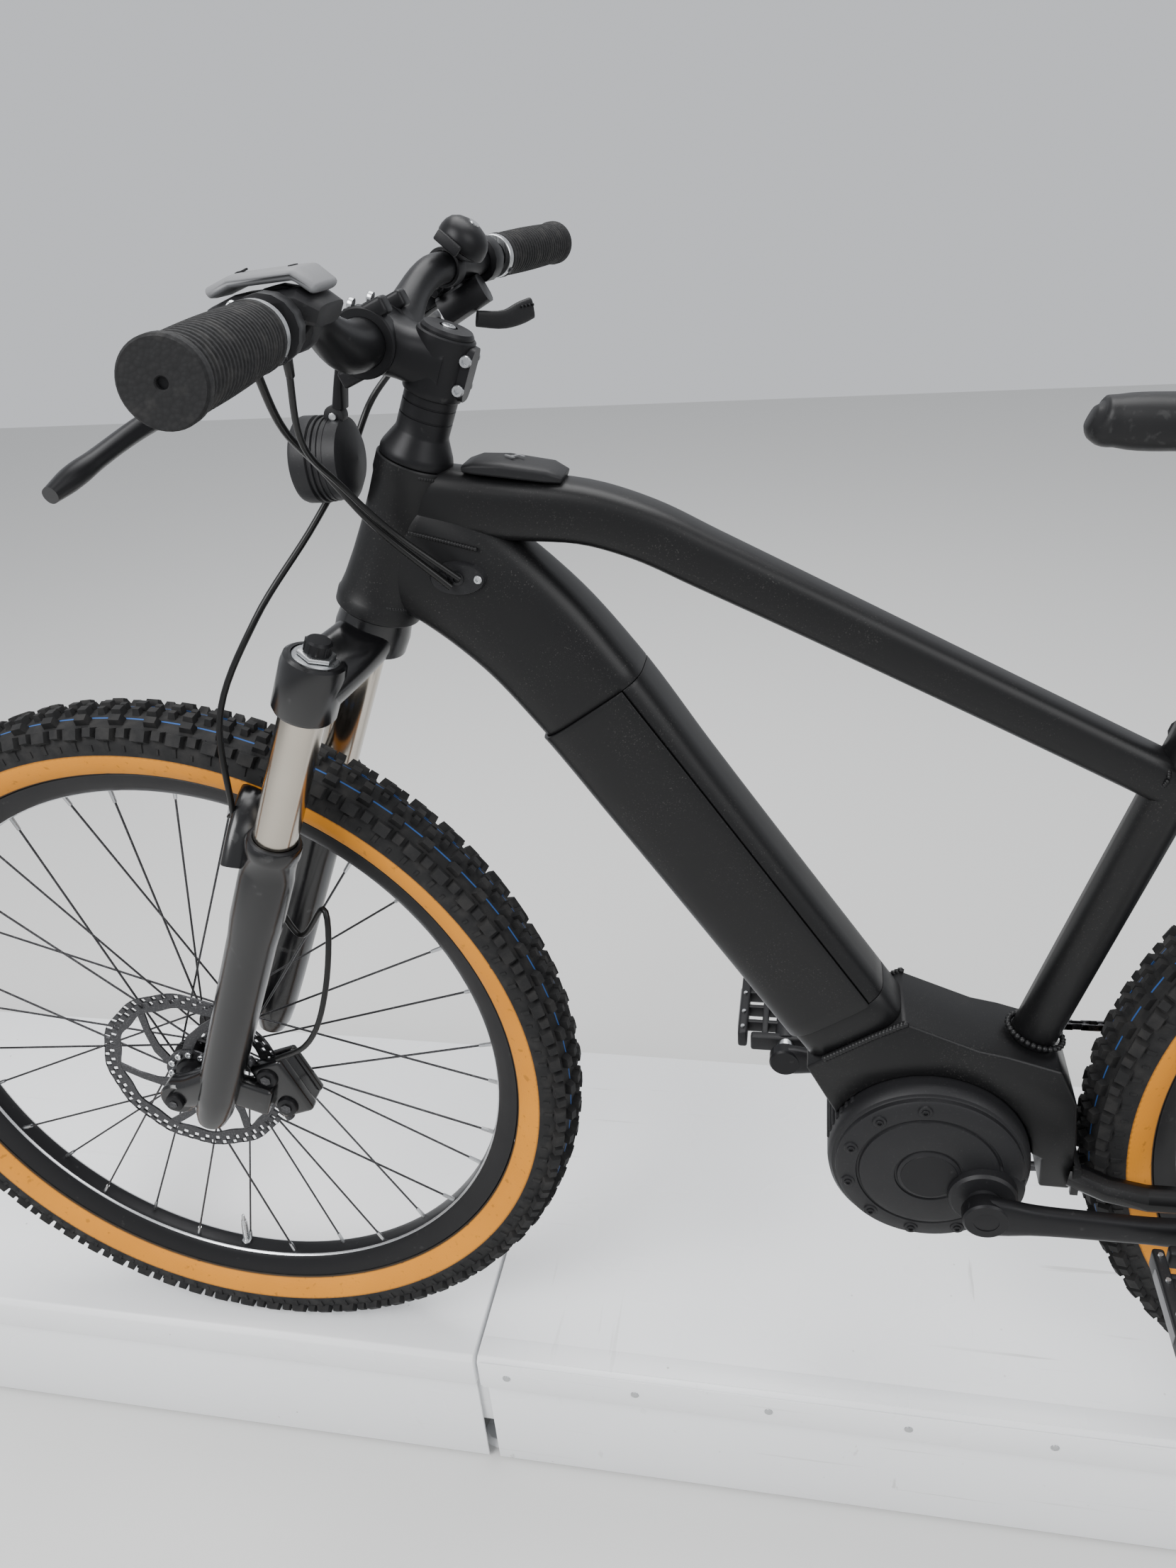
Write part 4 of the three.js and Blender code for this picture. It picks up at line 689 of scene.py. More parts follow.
def tyre(name, axle, wall, body, node):
    """Casing with amber walls and rows of knobs."""
    count = bpy.context.scene.bicycle_sizes.knobs
    bm = bmesh.new()
    outer = [(296.2, 18.2), (300, 22), (308, 26.2), (318, 28.2), (328, 27.6), (335, 24),
             (340.5, 17), (343.2, 9), (344, 0)]
    profile = [(r, -y) for r, y in outer] + [(r, y) for r, y in reversed(outer[:-1])]
    for face in revolve(bm, profile, axle, AXIS_Y, 144):
        offset = face.calc_center_median() - axle
        reach = math.hypot(offset.x, offset.z) / MM
        face.material_index = 1 if reach < 322 and abs(offset.y) > 0.012 else 0
    step = 2 * math.pi / count
    rows = []
    for side in (-1, 1):
        first = 0.5 * step * (side > 0)
        for share, reach, y, size, lean in KNOBS:
            rows += knob(bm, axle, first + share * step, reach, side * y, size, side * lean)
    copies_round(bm, rows, axle, AXIS_Y, count)
    draw = random.Random(5)
    for k in range(HAIRS):
        angle = 2 * math.pi * (k + draw.random()) / HAIRS
        side = -1 if k % 2 else 1
        turn = Matrix.Rotation(angle, 4, "Y")
        root = axle + turn @ Vector((0, side * 21, 337)) * MM
        tip = axle + turn @ Vector((0.4, side * (23 + draw.random()), 341.5)) * MM
        rod(bm, root, tip, 0.35, 0.2, 4)
    return piece(name, bm, ["tread", wall], body, [node], 30)


def rim(name, axle, body, node):
    """Black double-wall rim with a thin bright inner edge and eyelets."""
    bm = bmesh.new()
    half = [(274.6, 3), (275.2, 7.6), (276.6, 9.6), (281, 12.4), (289, 15.8), (293, 16.9),
            (295, 17.6), (295.8, 17.0), (295.8, 15.2), (293, 14.4), (290, 9), (289, 3)]
    profile = [(r, -y) for r, y in half] + [(r, y) for r, y in reversed(half)]
    for face in revolve(bm, profile, axle, AXIS_Y, 144):
        offset = face.calc_center_median() - axle
        reach = math.hypot(offset.x, offset.z) / MM
        face.material_index = 1 if reach < 276.2 and abs(offset.y) > 0.0068 else 0
    return piece(name, bm, ["anodised", "steel"], body, [node], 30)


def spokes(name, axle, body, flange, hub_y):
    """Crossed spokes with bright nipples, and the valve."""
    count = bpy.context.scene.bicycle_sizes.spokes
    bm = bmesh.new()
    for k in range(count):
        side = -1 if k % 2 else 1
        swing = 1 if (k // 2) % 2 else -1
        angle = 2 * math.pi * (k + 0.5) / count
        inner = angle + swing * math.radians(63)
        hub_point = axle + Vector((flange * math.sin(inner), side * (hub_y + swing * 1.6),
                                   flange * math.cos(inner))) * MM
        rim_point = axle + Vector((276 * math.sin(angle), side * 4, 276 * math.cos(angle))) * MM
        rod(bm, hub_point, rim_point, 1.0, 1.0, 8, index=0)
        inward = (hub_point - rim_point).normalized()
        rod(bm, rim_point + inward * 0.013, rim_point - inward * 0.001, 1.7, 2.1, 8, index=1)
        rod(bm, hub_point - AXIS_Y * 0.0022, hub_point + AXIS_Y * 0.0022, 1.9, 1.9, 8, index=0)
    angle = math.radians(186)
    out = Vector((math.sin(angle), 0, math.cos(angle)))
    foot = axle + out * 276 * MM
    rod(bm, foot, foot - out * 0.034, 3.0, 2.8, 12, 0.2, 1)
    rod(bm, foot - out * 0.001, foot - out * 0.005, 5.0, 5.0, 6, 0.3, 1)
    for k in range(9):
        rung = foot - out * (0.008 + 0.0026 * k)
        rod(bm, rung, rung - out * 0.0011, 3.35, 3.35, 12, 0, 1)
    rod(bm, foot - out * 0.034, foot - out * 0.042, 2.2, 1.5, 10, 0.3, 1)
    return piece(name, bm, ["dark", "steel"], body, (), 40)


def hub(name, axle, body, node, old, hub_y):
    """Hub shell, flanges, disc mount with six bolts, and end caps."""
    bm = bmesh.new()
    end = old / 2 - 0.5
    disc = old / 2 - 15.5
    profile = [(8.2, -end), (11.5, -end), (12.5, -end + 1), (12.5, -disc - 5), (16.5, -disc - 4),
               (16.8, -disc - 1), (16.8, -disc + 3), (14, -disc + 7), (14, -hub_y - 6),
               (19, -hub_y - 3.4), (27, -hub_y - 2.4), (27.6, -hub_y), (27, -hub_y + 2),
               (19, -hub_y + 3), (13.5, -hub_y + 8), (12.4, 0), (13.5, hub_y - 8),
               (19, hub_y - 3), (27, hub_y - 2), (27.6, hub_y), (27, hub_y + 2.4),
               (19, hub_y + 3.4), (14, hub_y + 6), (12.5, hub_y + 10), (12.5, end - 1),
               (11.5, end), (8.2, end)]
    revolve(bm, profile, axle, AXIS_Y, 56)
    for k in range(6):
        angle = k * math.pi / 3
        spot = round_spot(axle, ROTOR_BOLTS_R, angle, -disc - 0.9)
        screw(bm, spot, -AXIS_Y, 3.2, 2.2, 1)
    return piece(name, bm, ["anodised", "steel"], body, [node])


def rotor(name, axle, y, body, node):
    """Brake disc: wavy holed band, six swept arms and a bolted centre."""
    bm = bmesh.new()
    columns, waves = 96, 12
    rings = []
    for row, radius in enumerate((ROTOR_R - 16.5, ROTOR_R - 11.6, ROTOR_R - 6.4, ROTOR_R - 0.6)):
        def reach_at(angle, row=row, radius=radius):
            wave = math.cos(waves * angle)
            if row == 0:
                return radius + 1.4 * wave - 0.6
            return radius + (0.8 * (wave - 1) if row == 3 else 0.0)

        rings.append(edges_of(wavy_ring(bm, axle, columns, y + 9 * row, reach_at)))
    bands = []
    for inner, outer in zip(rings, rings[1:]):
        bands.append(bmesh.ops.bridge_loops(bm, edges=inner + outer)["faces"])
    for vert in bm.verts:
        vert.co.y = axle.y + y * MM
    holed = []
    for row, band in enumerate(bands[1:]):
        for face in band:
            offset = face.calc_center_median() - axle
            turn = math.atan2(offset.z, offset.x) / (2 * math.pi) * columns
            if int(math.floor(turn + 48.25 + row)) % 2 == 0:
                holed.append(face)
    bmesh.ops.inset_individual(bm, faces=holed, thickness=0.0008, depth=0)
    bmesh.ops.delete(bm, geom=holed, context="FACES")
    for k in range(6):
        angle = k * math.pi / 3
        strip = bmesh.ops.create_grid(bm, x_segments=3, y_segments=1, size=1)["verts"]
        for vert in strip:
            t = ROTOR_ARM_SHARES[round((vert.co.x + 1) * 1.5)]
            edge = 1 if vert.co.y > 0 else -1
            reach = 25 + (ROTOR_R - 16 - 25) * t
            half = (5.5 if reach < 50 else 4.2) / reach
            vert.co = round_spot(axle, reach, angle + 0.62 * (1 - t) ** 1.3 + edge * half, y)
    bmesh.ops.recalc_face_normals(bm, faces=bm.faces)
    thickened(bm, bm.faces[:], 1.8, True)
    hold = [(17.4, -0.9), (27, -0.9), (27, 0.9), (17.4, 0.9)]
    revolve(bm, hold, axle + AXIS_Y * y * MM, AXIS_Y, 48)
    for k in range(6):
        angle = (k + 0.5) * math.pi / 3
        spot = round_spot(axle, ROTOR_BOLTS_R, angle, y - 0.9)
        screw(bm, spot, -AXIS_Y, 3.4, 2.4, 1)
    return piece(name, bm, ["dark", "steel"], body, [node], 30)


def build_wheel(end):
    """Every piece of one wheel."""
    axle = FRONT_AXLE if end == "front" else REAR_AXLE
    body = end + "_wheel"
    old, hub_y = (110, 25) if end == "front" else (148, 16)
    tyre(end + "_tyre_knobbed", axle, "wall_" + end, body, end + "_tyre")
    rim(end + "_rim_black", axle, body, end + "_rim")
    spokes(end + "_spokes", axle, body, 24.5, hub_y)
    hub(end + "_hub_shell", axle, body, end + "_hub", old, hub_y)
    rotor(end + "_brake_disc", axle, -(old / 2 - 15.5), body, end + "_rotor")


def cassette():
    """Ten toothed sprockets and a lock ring."""
    bm = bmesh.new()
    for k in range(10):
        radius = 44 - 2.6 * k
        teeth = 42 - 3 * k
        y = 35.2 + 3.0 * k
        verts = wavy_ring(bm, REAR_AXLE, teeth * 4, y,
                          lambda angle: radius - 1.7 + 1.6 * math.cos(teeth * angle), True)
        thickened(bm, faces_of(verts), 1.7)
    revolve(bm, [(9, 63.4), (16, 63.4), (16, 64), (9, 64)], REAR_AXLE, AXIS_Y, 32)
    piece("sprockets", bm, ["steel"], "rear_wheel", ["cassette"], 30)


# ---------------------------------------------------------------- fork
DIAL_RIB_R = 9.4


def fork_legs():
    """Lower legs, wipers, arch, dropouts, through axle and brake caliper."""
    bm = bmesh.new()
    for side in (-1, 1):
        foot = steer(0, LEG_AHEAD, side * LEG_SIDE)
        profile = [(17.3, 18.5), (17.3, 303.5), (20.6, 304), (21.6, 302), (21.6, 293), (20.4, 291),
                   (20.6, 276), (21.4, 270), (21.4, 225), (20.0, 205), (19.4, 130), (19.0, 60),
                   (18.4, 20), (16.6, -4), (13, -17), (7, -21.6), (0.01, -22), (0.01, 18.5)]
        revolve(bm, profile, foot, UP, 48, closed=False)
        ring = [(17.4, 296), (20.2, 296), (20.2, 304), (19.0, 305.4), (17.4, 305.4)]
        revolve(bm, ring, foot, UP, 48, index=2)
        screw(bm, steer(-21, LEG_AHEAD, side * LEG_SIDE), -UP, 6, 4, 3)
        hand = side * LEG_SIDE
        dropout = [(steer(42, LEG_AHEAD + 2, hand), 30, 26, 2.4),
                   (steer(24, LEG_AHEAD + 12, hand), 28, 30, 2.6),
                   (steer(8, LEG_AHEAD + 24, hand), 24, 32, 2.8),
                   (steer(0, FORK_OFFSET + 2, hand), 20, 32, 3)]
        skin(bm, flowing(dropout, 4), 24)
        boss = [(7.6, -10), (14, -10), (16, -8), (16, 8), (14, 10), (7.6, 10)]
        revolve(bm, boss, steer(0, FORK_OFFSET, hand), AXIS_Y, 36)
    arch = []
    for t in (-1, -0.96, -0.8, -0.5, 0, 0.5, 0.8, 0.96, 1):
        rise = 1 - t * t
        lift = 1 - abs(t) ** 4
        arch.append((steer(LEG_HIGH - 36 + 42 * lift, LEG_AHEAD + 22 + 15 * rise, t * LEG_SIDE),
                     18 - 4 * rise, 30 - 8 * rise, 3))
    skin(bm, flowing(arch, 4), 20, UP)
    for t in (-0.55, 0.55):
        spot = steer(LEG_HIGH - 6, LEG_AHEAD + 41, t * LEG_SIDE)
        block(bm, spot, (3, 26, 12), Matrix.Rotation(HEAD_ANGLE, 3, "Y"), 1.2)
    left = steer(0, FORK_OFFSET, -LEG_SIDE - 9)
    rod(bm, left, left - AXIS_Y * 0.006, 8.5, 8.5, 24, 0.8, 3)
    rod(bm, left - AXIS_Y * 0.005, left - AXIS_Y * 0.0068, 4.0, 4.0, 6, 0, 1)
    right = steer(0, FORK_OFFSET, LEG_SIDE + 9)
    rod(bm, right, right + AXIS_Y * 0.005, 8.5, 8.5, 24, 0.8, 3)
    rod(bm, left, right, 7.2, 7.2, 24, 0, 3)
    disc_y = -39.5
    body_at = at(92, disc_y - 8, 354)
    tilt = Matrix.Rotation(math.radians(-22), 3, "Y")
    block(bm, body_at + Vector((0, -0.0035, 0)), (34, 13, 60), tilt, 4, 3)
    block(bm, body_at + Vector((0.004, 0.0165, 0)), (28, 8, 52), tilt, 3, 3)
    block(bm, body_at + Vector((0.010, 0.006, 0)), (12, 26, 50), tilt, 3, 3)
    for dz in (-17, 17):
        spot = body_at + tilt @ Vector((-3, -9.5, dz)) * MM
        rod(bm, spot, spot - AXIS_Y * 0.004, 10, 9, 24, 0.8, 3)
        rod(bm, spot - AXIS_Y * 0.004, spot - AXIS_Y * 0.0055, 5, 5, 6, 0, 1)
    for dz in (-27, 27):
        spot = body_at + tilt @ Vector((-16, -2, dz)) * MM
        rod(bm, spot, spot + tilt @ Vector((0, 0, 9 if dz > 0 else -9)) * MM, 4.4, 4.4, 14, 0.6, 1)
    block(bm, at(62, -60, 352), (46, 14, 30), Matrix.Rotation(math.radians(20), 3, "Y"), 4, 3)
    return piece("fork_lower_legs", bm, ["fork", "dark", "moulded", "anodised"], "fork_lower",
                 ["fork_lowers"], 32)


def fork_crown():
    """Crown, steerer clamp faces, leg caps, stanchions and the damping dial."""
    bm = bmesh.new()
    stations = []
    for t in (-1, -0.8, -0.5, -0.2, 0, 0.2, 0.5, 0.8, 1):
        rise = 1 - t * t
        stations.append((steer(CROWN_HIGH - 24 + 25 * rise, LEG_AHEAD * t * t, t * LEG_SIDE),
                         42 + 4 * abs(t), 38 - 12 * rise, 2.8))
    skin(bm, flowing(stations, 4), 28, AHEAD)
    for side in (-1, 1):
        foot = steer(0, LEG_AHEAD, side * LEG_SIDE)
        low, top = 420, CROWN_HIGH
        profile = [(17.4, low), (21.5, low), (23.4, low + 3), (23.6, top - 8), (22.4, top - 2),
                   (20, top - 0.3), (17.4, top - 0.3)]
        revolve(bm, profile, foot, UP, 48)
    revolve(bm, [(14.5, 458), (27, 458), (27.6, 470), (26.6, 478), (25.4, 485), (14.5, 485)],
            steer(0), UP, 48)
    revolve(bm, [(0.01, 470), (14.1, 470), (14.1, 684), (0.01, 684)], steer(0), UP, 32, False)
    piece("fork_crown_forged", bm, ["fork"], "steering", ["fork_crown"], 32)

    for hand, side in (("left", -1), ("right", 1)):
        bm = bmesh.new()
        foot = steer(0, LEG_AHEAD, side * LEG_SIDE)
        inner = [(0.01, 112), (16.4, 112), (17, 113), (17, 460), (0.01, 460)]
        revolve(bm, inner, foot, UP, 64, False)
        cap = [(0.01, CROWN_HIGH - 6), (16.8, CROWN_HIGH - 6), (16.8, CROWN_HIGH - 1),
               (15.6, CROWN_HIGH), (0.01, CROWN_HIGH)]
        revolve(bm, cap, foot, UP, 36, False, 1 if side < 0 else 2)
        piece("stanchion_polished_" + hand, bm, ["nickel", "steel", "anodised"], "steering",
              ["stanchion_" + hand], 32)

    bm = bmesh.new()
    foot = steer(0, LEG_AHEAD, -LEG_SIDE)
    top = CROWN_HIGH + 0.4
    rod(bm, steer(top, LEG_AHEAD, -LEG_SIDE), steer(top + 3, LEG_AHEAD, -LEG_SIDE), 14, 13.6, 6,
        0.6, 1)
    dial = [(0.01, top + 3), (9.6, top + 3), (9.6, top + 11), (8, top + 12.6), (0.01, top + 12.6)]
    revolve(bm, dial, foot, UP, 32, False)
    for k in range(10):
        angle = 2 * math.pi * k / 10
        spot = steer(top + 7.4, LEG_AHEAD + DIAL_RIB_R * math.cos(angle),
                     -LEG_SIDE + DIAL_RIB_R * math.sin(angle))
        rod(bm, spot - UP * 0.0036, spot + UP * 0.0036, 0.9, 0.9, 6)
    piece("damping_dial", bm, ["anodised", "steel"], "fork_dial", ["fork_knob"],
          32)


# ---------------------------------------------------------------- frame
DOWN_STATIONS = ((262, 826, 46, 88, 3), (298, 807, 52, 92, 3.2), (343, 769, 58, 90, 3.6),
                 (384, 719, 62, 88, 4), (434, 645.5, 62, 86, 4), (582, 428.5, 62, 86, 4))
TOP_STATIONS = ((262, 862, 40, 46, 3.4), (330, 853, 42, 44, 3.4), (398, 845, 41, 40, 3.4),
                (430, 834, 40, 39, 3.4), (470, 814, 38, 38, 3.4), (754, 669, 34, 34, 3.2),
                (786, 652.5, 34, 34, 3.2))
COVER_SKIN = 14
COVER_LOW = 26
COVER_HIGH = 8


def tube_stations(rows):
    return [(at(x, 0, z), width, height, corner) for x, z, width, height, corner in rows]


def cut(bm, point, normal, fill=True):
    """Cut away everything on the side that a normal points to."""
    made = bmesh.ops.bisect_plane(bm, geom=bm.verts[:] + bm.edges[:] + bm.faces[:],
                                  plane_co=point, plane_no=normal, clear_outer=True)
    rim = [item for item in made["geom_cut"] if isinstance(item, bmesh.types.BMEdge)]
    if fill:
        bmesh.ops.edgeloop_fill(bm, edges=rim)


def down_part(cuts):
    """Down tube's skin, with a list of (point, normal, fill) cuts made in it."""
    bm = bmesh.new()
    skin(bm, flowing(tube_stations(DOWN_STATIONS), 7), 48)
    for point, normal, fill in cuts:
        cut(bm, point, normal, fill)
    return bm


def merged(parts):
    """One bmesh from several."""
    whole = bmesh.new()
    for part in parts:
        mesh = bpy.data.meshes.new("part")
        part.to_mesh(mesh)
        part.free()
        whole.from_mesh(mesh)
        bpy.data.meshes.remove(mesh)
    return whole


def down_tube():
    """Down tube with its battery bay, and the flush cover and pack that slide out of it."""
    low = at(582, 0, 428.5)
    high = at(384, 0, 719)
    along = (high - low).normalized()
    outward = Vector((along.z, 0, -along.x))
    bottom = low + along * COVER_LOW * MM
    top = high - along * COVER_HIGH * MM
    face = low + outward * (43 - COVER_SKIN) * MM
    gap = 0.35 * MM
    foot_part = down_part([(bottom, along, True)])
    head_part = down_part([(top, -along, True)])
    bay = down_part([(bottom, -along, False), (top, along, False), (face, outward, False)])
    bmesh.ops.solidify(bay, geom=bay.faces[:], thickness=-3 * MM)
    bm = merged([foot_part, head_part, bay])
    eased(bm, sharp_edges(bm.edges, 50), 0.5)
    piece("down_tube_shell", bm, ["frame"], "bicycle", ["down_tube"], 34)

    bm = down_part([(bottom + along * gap, -along, True), (top - along * gap, along, True),
                    (face + outward * gap, -outward, True)])
    rounded(bm, bm.verts[:], 0.7)
    lug = bottom.lerp(top, 0.93) + outward * (43 - COVER_SKIN + 12.4) * MM
    rod(bm, lug - outward * 0.001, lug + outward * 0.0016, 5, 4.6, 24, 0.4, 1)
    piece("battery_cover_skin", bm, ["frame", "moulded"], "battery", ["battery_cover"],
          34)
    refined("battery_pack", "moulded", "battery", 2)


def head_and_top():
    """Head tube, top tube and the cable ports."""
    bm = bmesh.new()
    profile = [(15.4, 486), (30, 486), (31, 487), (31, 495), (30, 497), (28.4, 506), (26.6, 525),
               (25.6, 545), (25.2, 570), (25.6, 584), (26.6, 588), (26.6, 599), (25.8, 600),
               (15.4, 600)]
    revolve(bm, profile, steer(0), UP, 64)
    piece("head_tube_turned", bm, ["frame"], "bicycle", ["head_tube"], 34)

    bm = bmesh.new()
    skin(bm, flowing(tube_stations(TOP_STATIONS), 7), 36)
    piece("top_tube_drawn", bm, ["frame"], "bicycle", ["top_tube"], 34)

    bm = bmesh.new()
    for side, x, z in ((-1, 304, 810), (1, 320, 818)):
        hand = Vector((0, side, 0))
        spot = at(x, side * 25.6, z)
        verts = rod(bm, spot, spot + hand * 0.0042, 12, 10.6, 32, 0, 1)
        for vert in verts:
            vert.co.x = spot.x + (vert.co.x - spot.x) * 1.75
        for slide in (-0.011, 0.0):
            hole = spot + Vector((slide, 0, 0.001)) + hand * 0.0036
            revolve(bm, [(2.6, 0), (4.6, 0), (4.6, 1.6), (2.6, 2.2)], hole, hand, 20, index=1)
        screw(bm, spot + Vector((0.0145, 0, 0)) + hand * 0.0036, hand, 3.0, 2.0, 2)
    piece("cable_ports", bm, ["frame", "moulded", "steel"], "bicycle")


def welds():
    """Beads where the tubes meet."""
    bm = bmesh.new()
    for place in (596, 500):
        ring = [steer(place, 25.6 * math.cos(t) * (1 if place > 550 else 1.1),
                      25.6 * math.sin(t) * (1 if place > 550 else 1.1))
                for t in [math.radians(a) for a in range(112, 249, 8)]]
        beads(bm, ring, 1.9)
    rows = (
        [at(272 + 6 * k, side * (22 + 0.6 * k), 841 - 1.4 * k) for k in range(9)]
        for side in (-1, 1))
    for row in rows:
        beads(bm, row, 1.9)
    for side in (-1, 1):
        y = side * 33.6
        beads(bm, [at(560, y, 413), at(596, y, 438), at(622, y, 454)], 3.2)
    ring = [at(722 + 21 * math.sin(t), 20 * math.cos(t), 426 - 6 * math.sin(t))
            for t in [math.radians(a) for a in range(0, 361, 12)]]
    beads(bm, ring, 2.8)
    loop = [seat(661 + 12 * math.cos(t)) + Vector((-0.017 + 0.004 * math.sin(t) ** 2,
                                                   0.0175 * math.sin(t), 0))
            for t in [math.radians(a) for a in range(0, 361, 15)]]
    beads(bm, loop, 1.8)
    piece("weld_beads", bm, ["weld"], "bicycle", (), 60)


def charge_port():
    """Charge door and its plain sign."""
    refined("charge_port_cover", "moulded", "charge_door", 1.2)
    low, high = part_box("charge_port_cover")
    bm = bmesh.new()
    centre = Vector(((low[0] + high[0]) / 2, FRONT_AXLE.y, high[2] + 0.00005))
    tilt = Matrix.Rotation(math.radians(7), 3, "Y")
    for dx, dy, turn in ((3.0, 2.4, -0.5), (-3.0, -2.4, -0.5), (0.0, 0.0, 0.9)):
        arm = Matrix.Rotation(turn, 3, "Z")
        block(bm, centre + tilt @ Vector((dx, dy, -0.2)) * MM, (8 if turn < 0 else 5.5, 1.5, 0.7),
              tilt @ arm, 0)
    front = Vector((low[0] + 0.0065, FRONT_AXLE.y, low[2] + 0.0075))
    screw(bm, front, AXIS_Z, 3.2, 1.6, 1)
    piece("charge_sign", bm, ["grey", "steel"], "charge_door")


def plain_frame():
    """Frame parts that keep their packed shape, the seat collar and the small wheels."""
    refined("seat_tube", "frame", "bicycle", 0.6)
    refined("motor_bracket", "frame", "bicycle", 2.2)
    refined("chainstays", "frame", "bicycle", 0.9)
    refined("seatstays", "frame", "bicycle", 0.9)
    refined("derailleur", "anodised", "bicycle", 1.0)
    refined("seatpost", "anodised", "seat", 0.8)
    bm = bmesh.new()
    collar = seat(738)
    revolve(bm, [(18.2, 0), (21.6, 0.6), (21.9, 2), (21.9, 9), (21.4, 10), (18.2, 10.4)], collar,
            SEAT_UP, 48)
    rod(bm, collar + Vector((0.022, -0.012, 0.006)), collar + Vector((0.022, 0.012, 0.006)), 3.4,
        3.4, 16, 0.5, 1)
    for dz in (-0.028, 0.006):
        rod(bm, at(1140, 50, 0) + Vector((0, 0, AXLE_HEIGHT * MM - 0.064 + dz)),
            at(1140, 54, 0) + Vector((0, 0, AXLE_HEIGHT * MM - 0.064 + dz)), 11, 11, 22, 0.6, 1)
    piece("collar_and_jockey_wheels", bm, ["anodised", "steel"], "bicycle")


# ---------------------------------------------------------------- drive
MOTOR_X, MOTOR_Z = 644, 321
RING_X = 686
CHAIN_Y = 52


def motor():
    """Motor with its two covers, blank badge and screws."""
    bm = bmesh.new()
    centre = at(MOTOR_X, 0, MOTOR_Z)
    core = Vector((CRANK_AXIS.x, ZERO.y, CRANK_AXIS.z))
    body = [(0.01, 47), (76, 47), (79.6, 44), (80, 40), (80, 22), (79, 21.4), (79, 19.6), (80, 19),
            (80, -40), (79, -46), (76.4, -49), (74.4, -49.4), (73.6, -50.2), (73.2, -54),
            (71, -55.6), (60, -57), (57.4, -57.2), (56.8, -56), (55.2, -56), (54.4, -58),
            (50, -59.2), (30, -60.2), (27.4, -60), (27, -58.6), (25.4, -58.6), (24.8, -60),
            (23, -60.9), (0.01, -61)]
    revolve(bm, body, centre, AXIS_Y, 96, False)
    badge = [(0.01, -60.6), (22.4, -60.6), (22, -61.3), (0.01, -61.4)]
    revolve(bm, badge, centre, AXIS_Y, 56, False, 1)
    case = [(0.01, 46), (31, 46), (34, 43), (34, -52), (33, -55), (27.4, -57), (26.6, -65),
            (24.6, -67.4), (13.2, -68.4), (12.4, -74), (0.01, -74)]
    revolve(bm, case, core, AXIS_Y, 56, False)
    revolve(bm, [(0.01, 46), (12.4, 46), (12.4, 74), (0.01, 74)], core, AXIS_Y, 40, False, 2)
    for k in range(8):
        angle = math.radians(96 + 33 * k)
        spot = at(MOTOR_X + 65 * math.cos(angle), -55.6, MOTOR_Z + 65 * math.sin(angle))
        rod(bm, spot + AXIS_Y * 0.003, spot - AXIS_Y * 0.0022, 6.2, 5.4, 20, 0.5, 0)
        screw(bm, spot - AXIS_Y * 0.0020, -AXIS_Y, 3.2, 1.4, 1)
    for k in range(7):
        angle = math.radians(140 + 5.2 * k)
        out = Vector((math.cos(angle), 0, math.sin(angle)))
        rod(bm, centre + out * 0.0795 - AXIS_Y * 0.038, centre + out * 0.0795 + AXIS_Y * 0.03, 2.2,
            2.2, 10, 0.5, 0)
    sweep = [(centre + (core - centre) * t + AXIS_Y * y * MM, 10, h, 3)
             for t, y, h in ((0.1, -53, 76), (0.6, -55, 66), (1.0, -57, 52))]
    skin(bm, flowing(sweep, 4), 32)
    piece("motor_covers", bm, ["moulded", "anodised", "steel"], "bicycle", ["motor_unit"],
          34)


def crank(side):
    """Crank arm with spindle boss, pedal boss and bolt."""
    bm = bmesh.new()
    hand = Vector((0, side, 0))
    way = -side
    core = Vector((CRANK_AXIS.x, FRONT_AXLE.y, CRANK_AXIS.z)) + hand * 0.082
    low_x = 160 * way
    stations = [(core + Vector((x * way, 0, 0)) * MM, 13.4, height, 3.2)
                for x, height in ((-14, 24), (-6, 33), (12, 35), (34, 28), (80, 24), (134, 24),
                                  (156, 29), (170, 22))]
    skin(bm, flowing(stations, 4), 28)
    revolve(bm, [(0.01, -6.9), (17, -6.9), (18, -5), (18, 5.4), (16.4, 6.9), (9.6, 7.0),
                 (9.2, 5.2), (0.01, 5.2)], core, hand, 48, False)
    revolve(bm, [(0.01, 5.2), (7.6, 5.2), (7.4, 6.2), (4.4, 6.4), (4.2, 4), (0.01, 4)], core,
            hand, 24, False, 1)
    tip = core + Vector((low_x, 0, 0)) * MM
    revolve(bm, [(0.01, -6.9), (13, -6.9), (14.4, -5), (14.4, 5), (13, 6.9), (0.01, 6.9)], tip,
            hand, 36, False)
    name = HANDS[side]
    piece("crank_forged_" + name, bm, ["anodised", "steel"], "drive", ["crank_" + name],
          34)


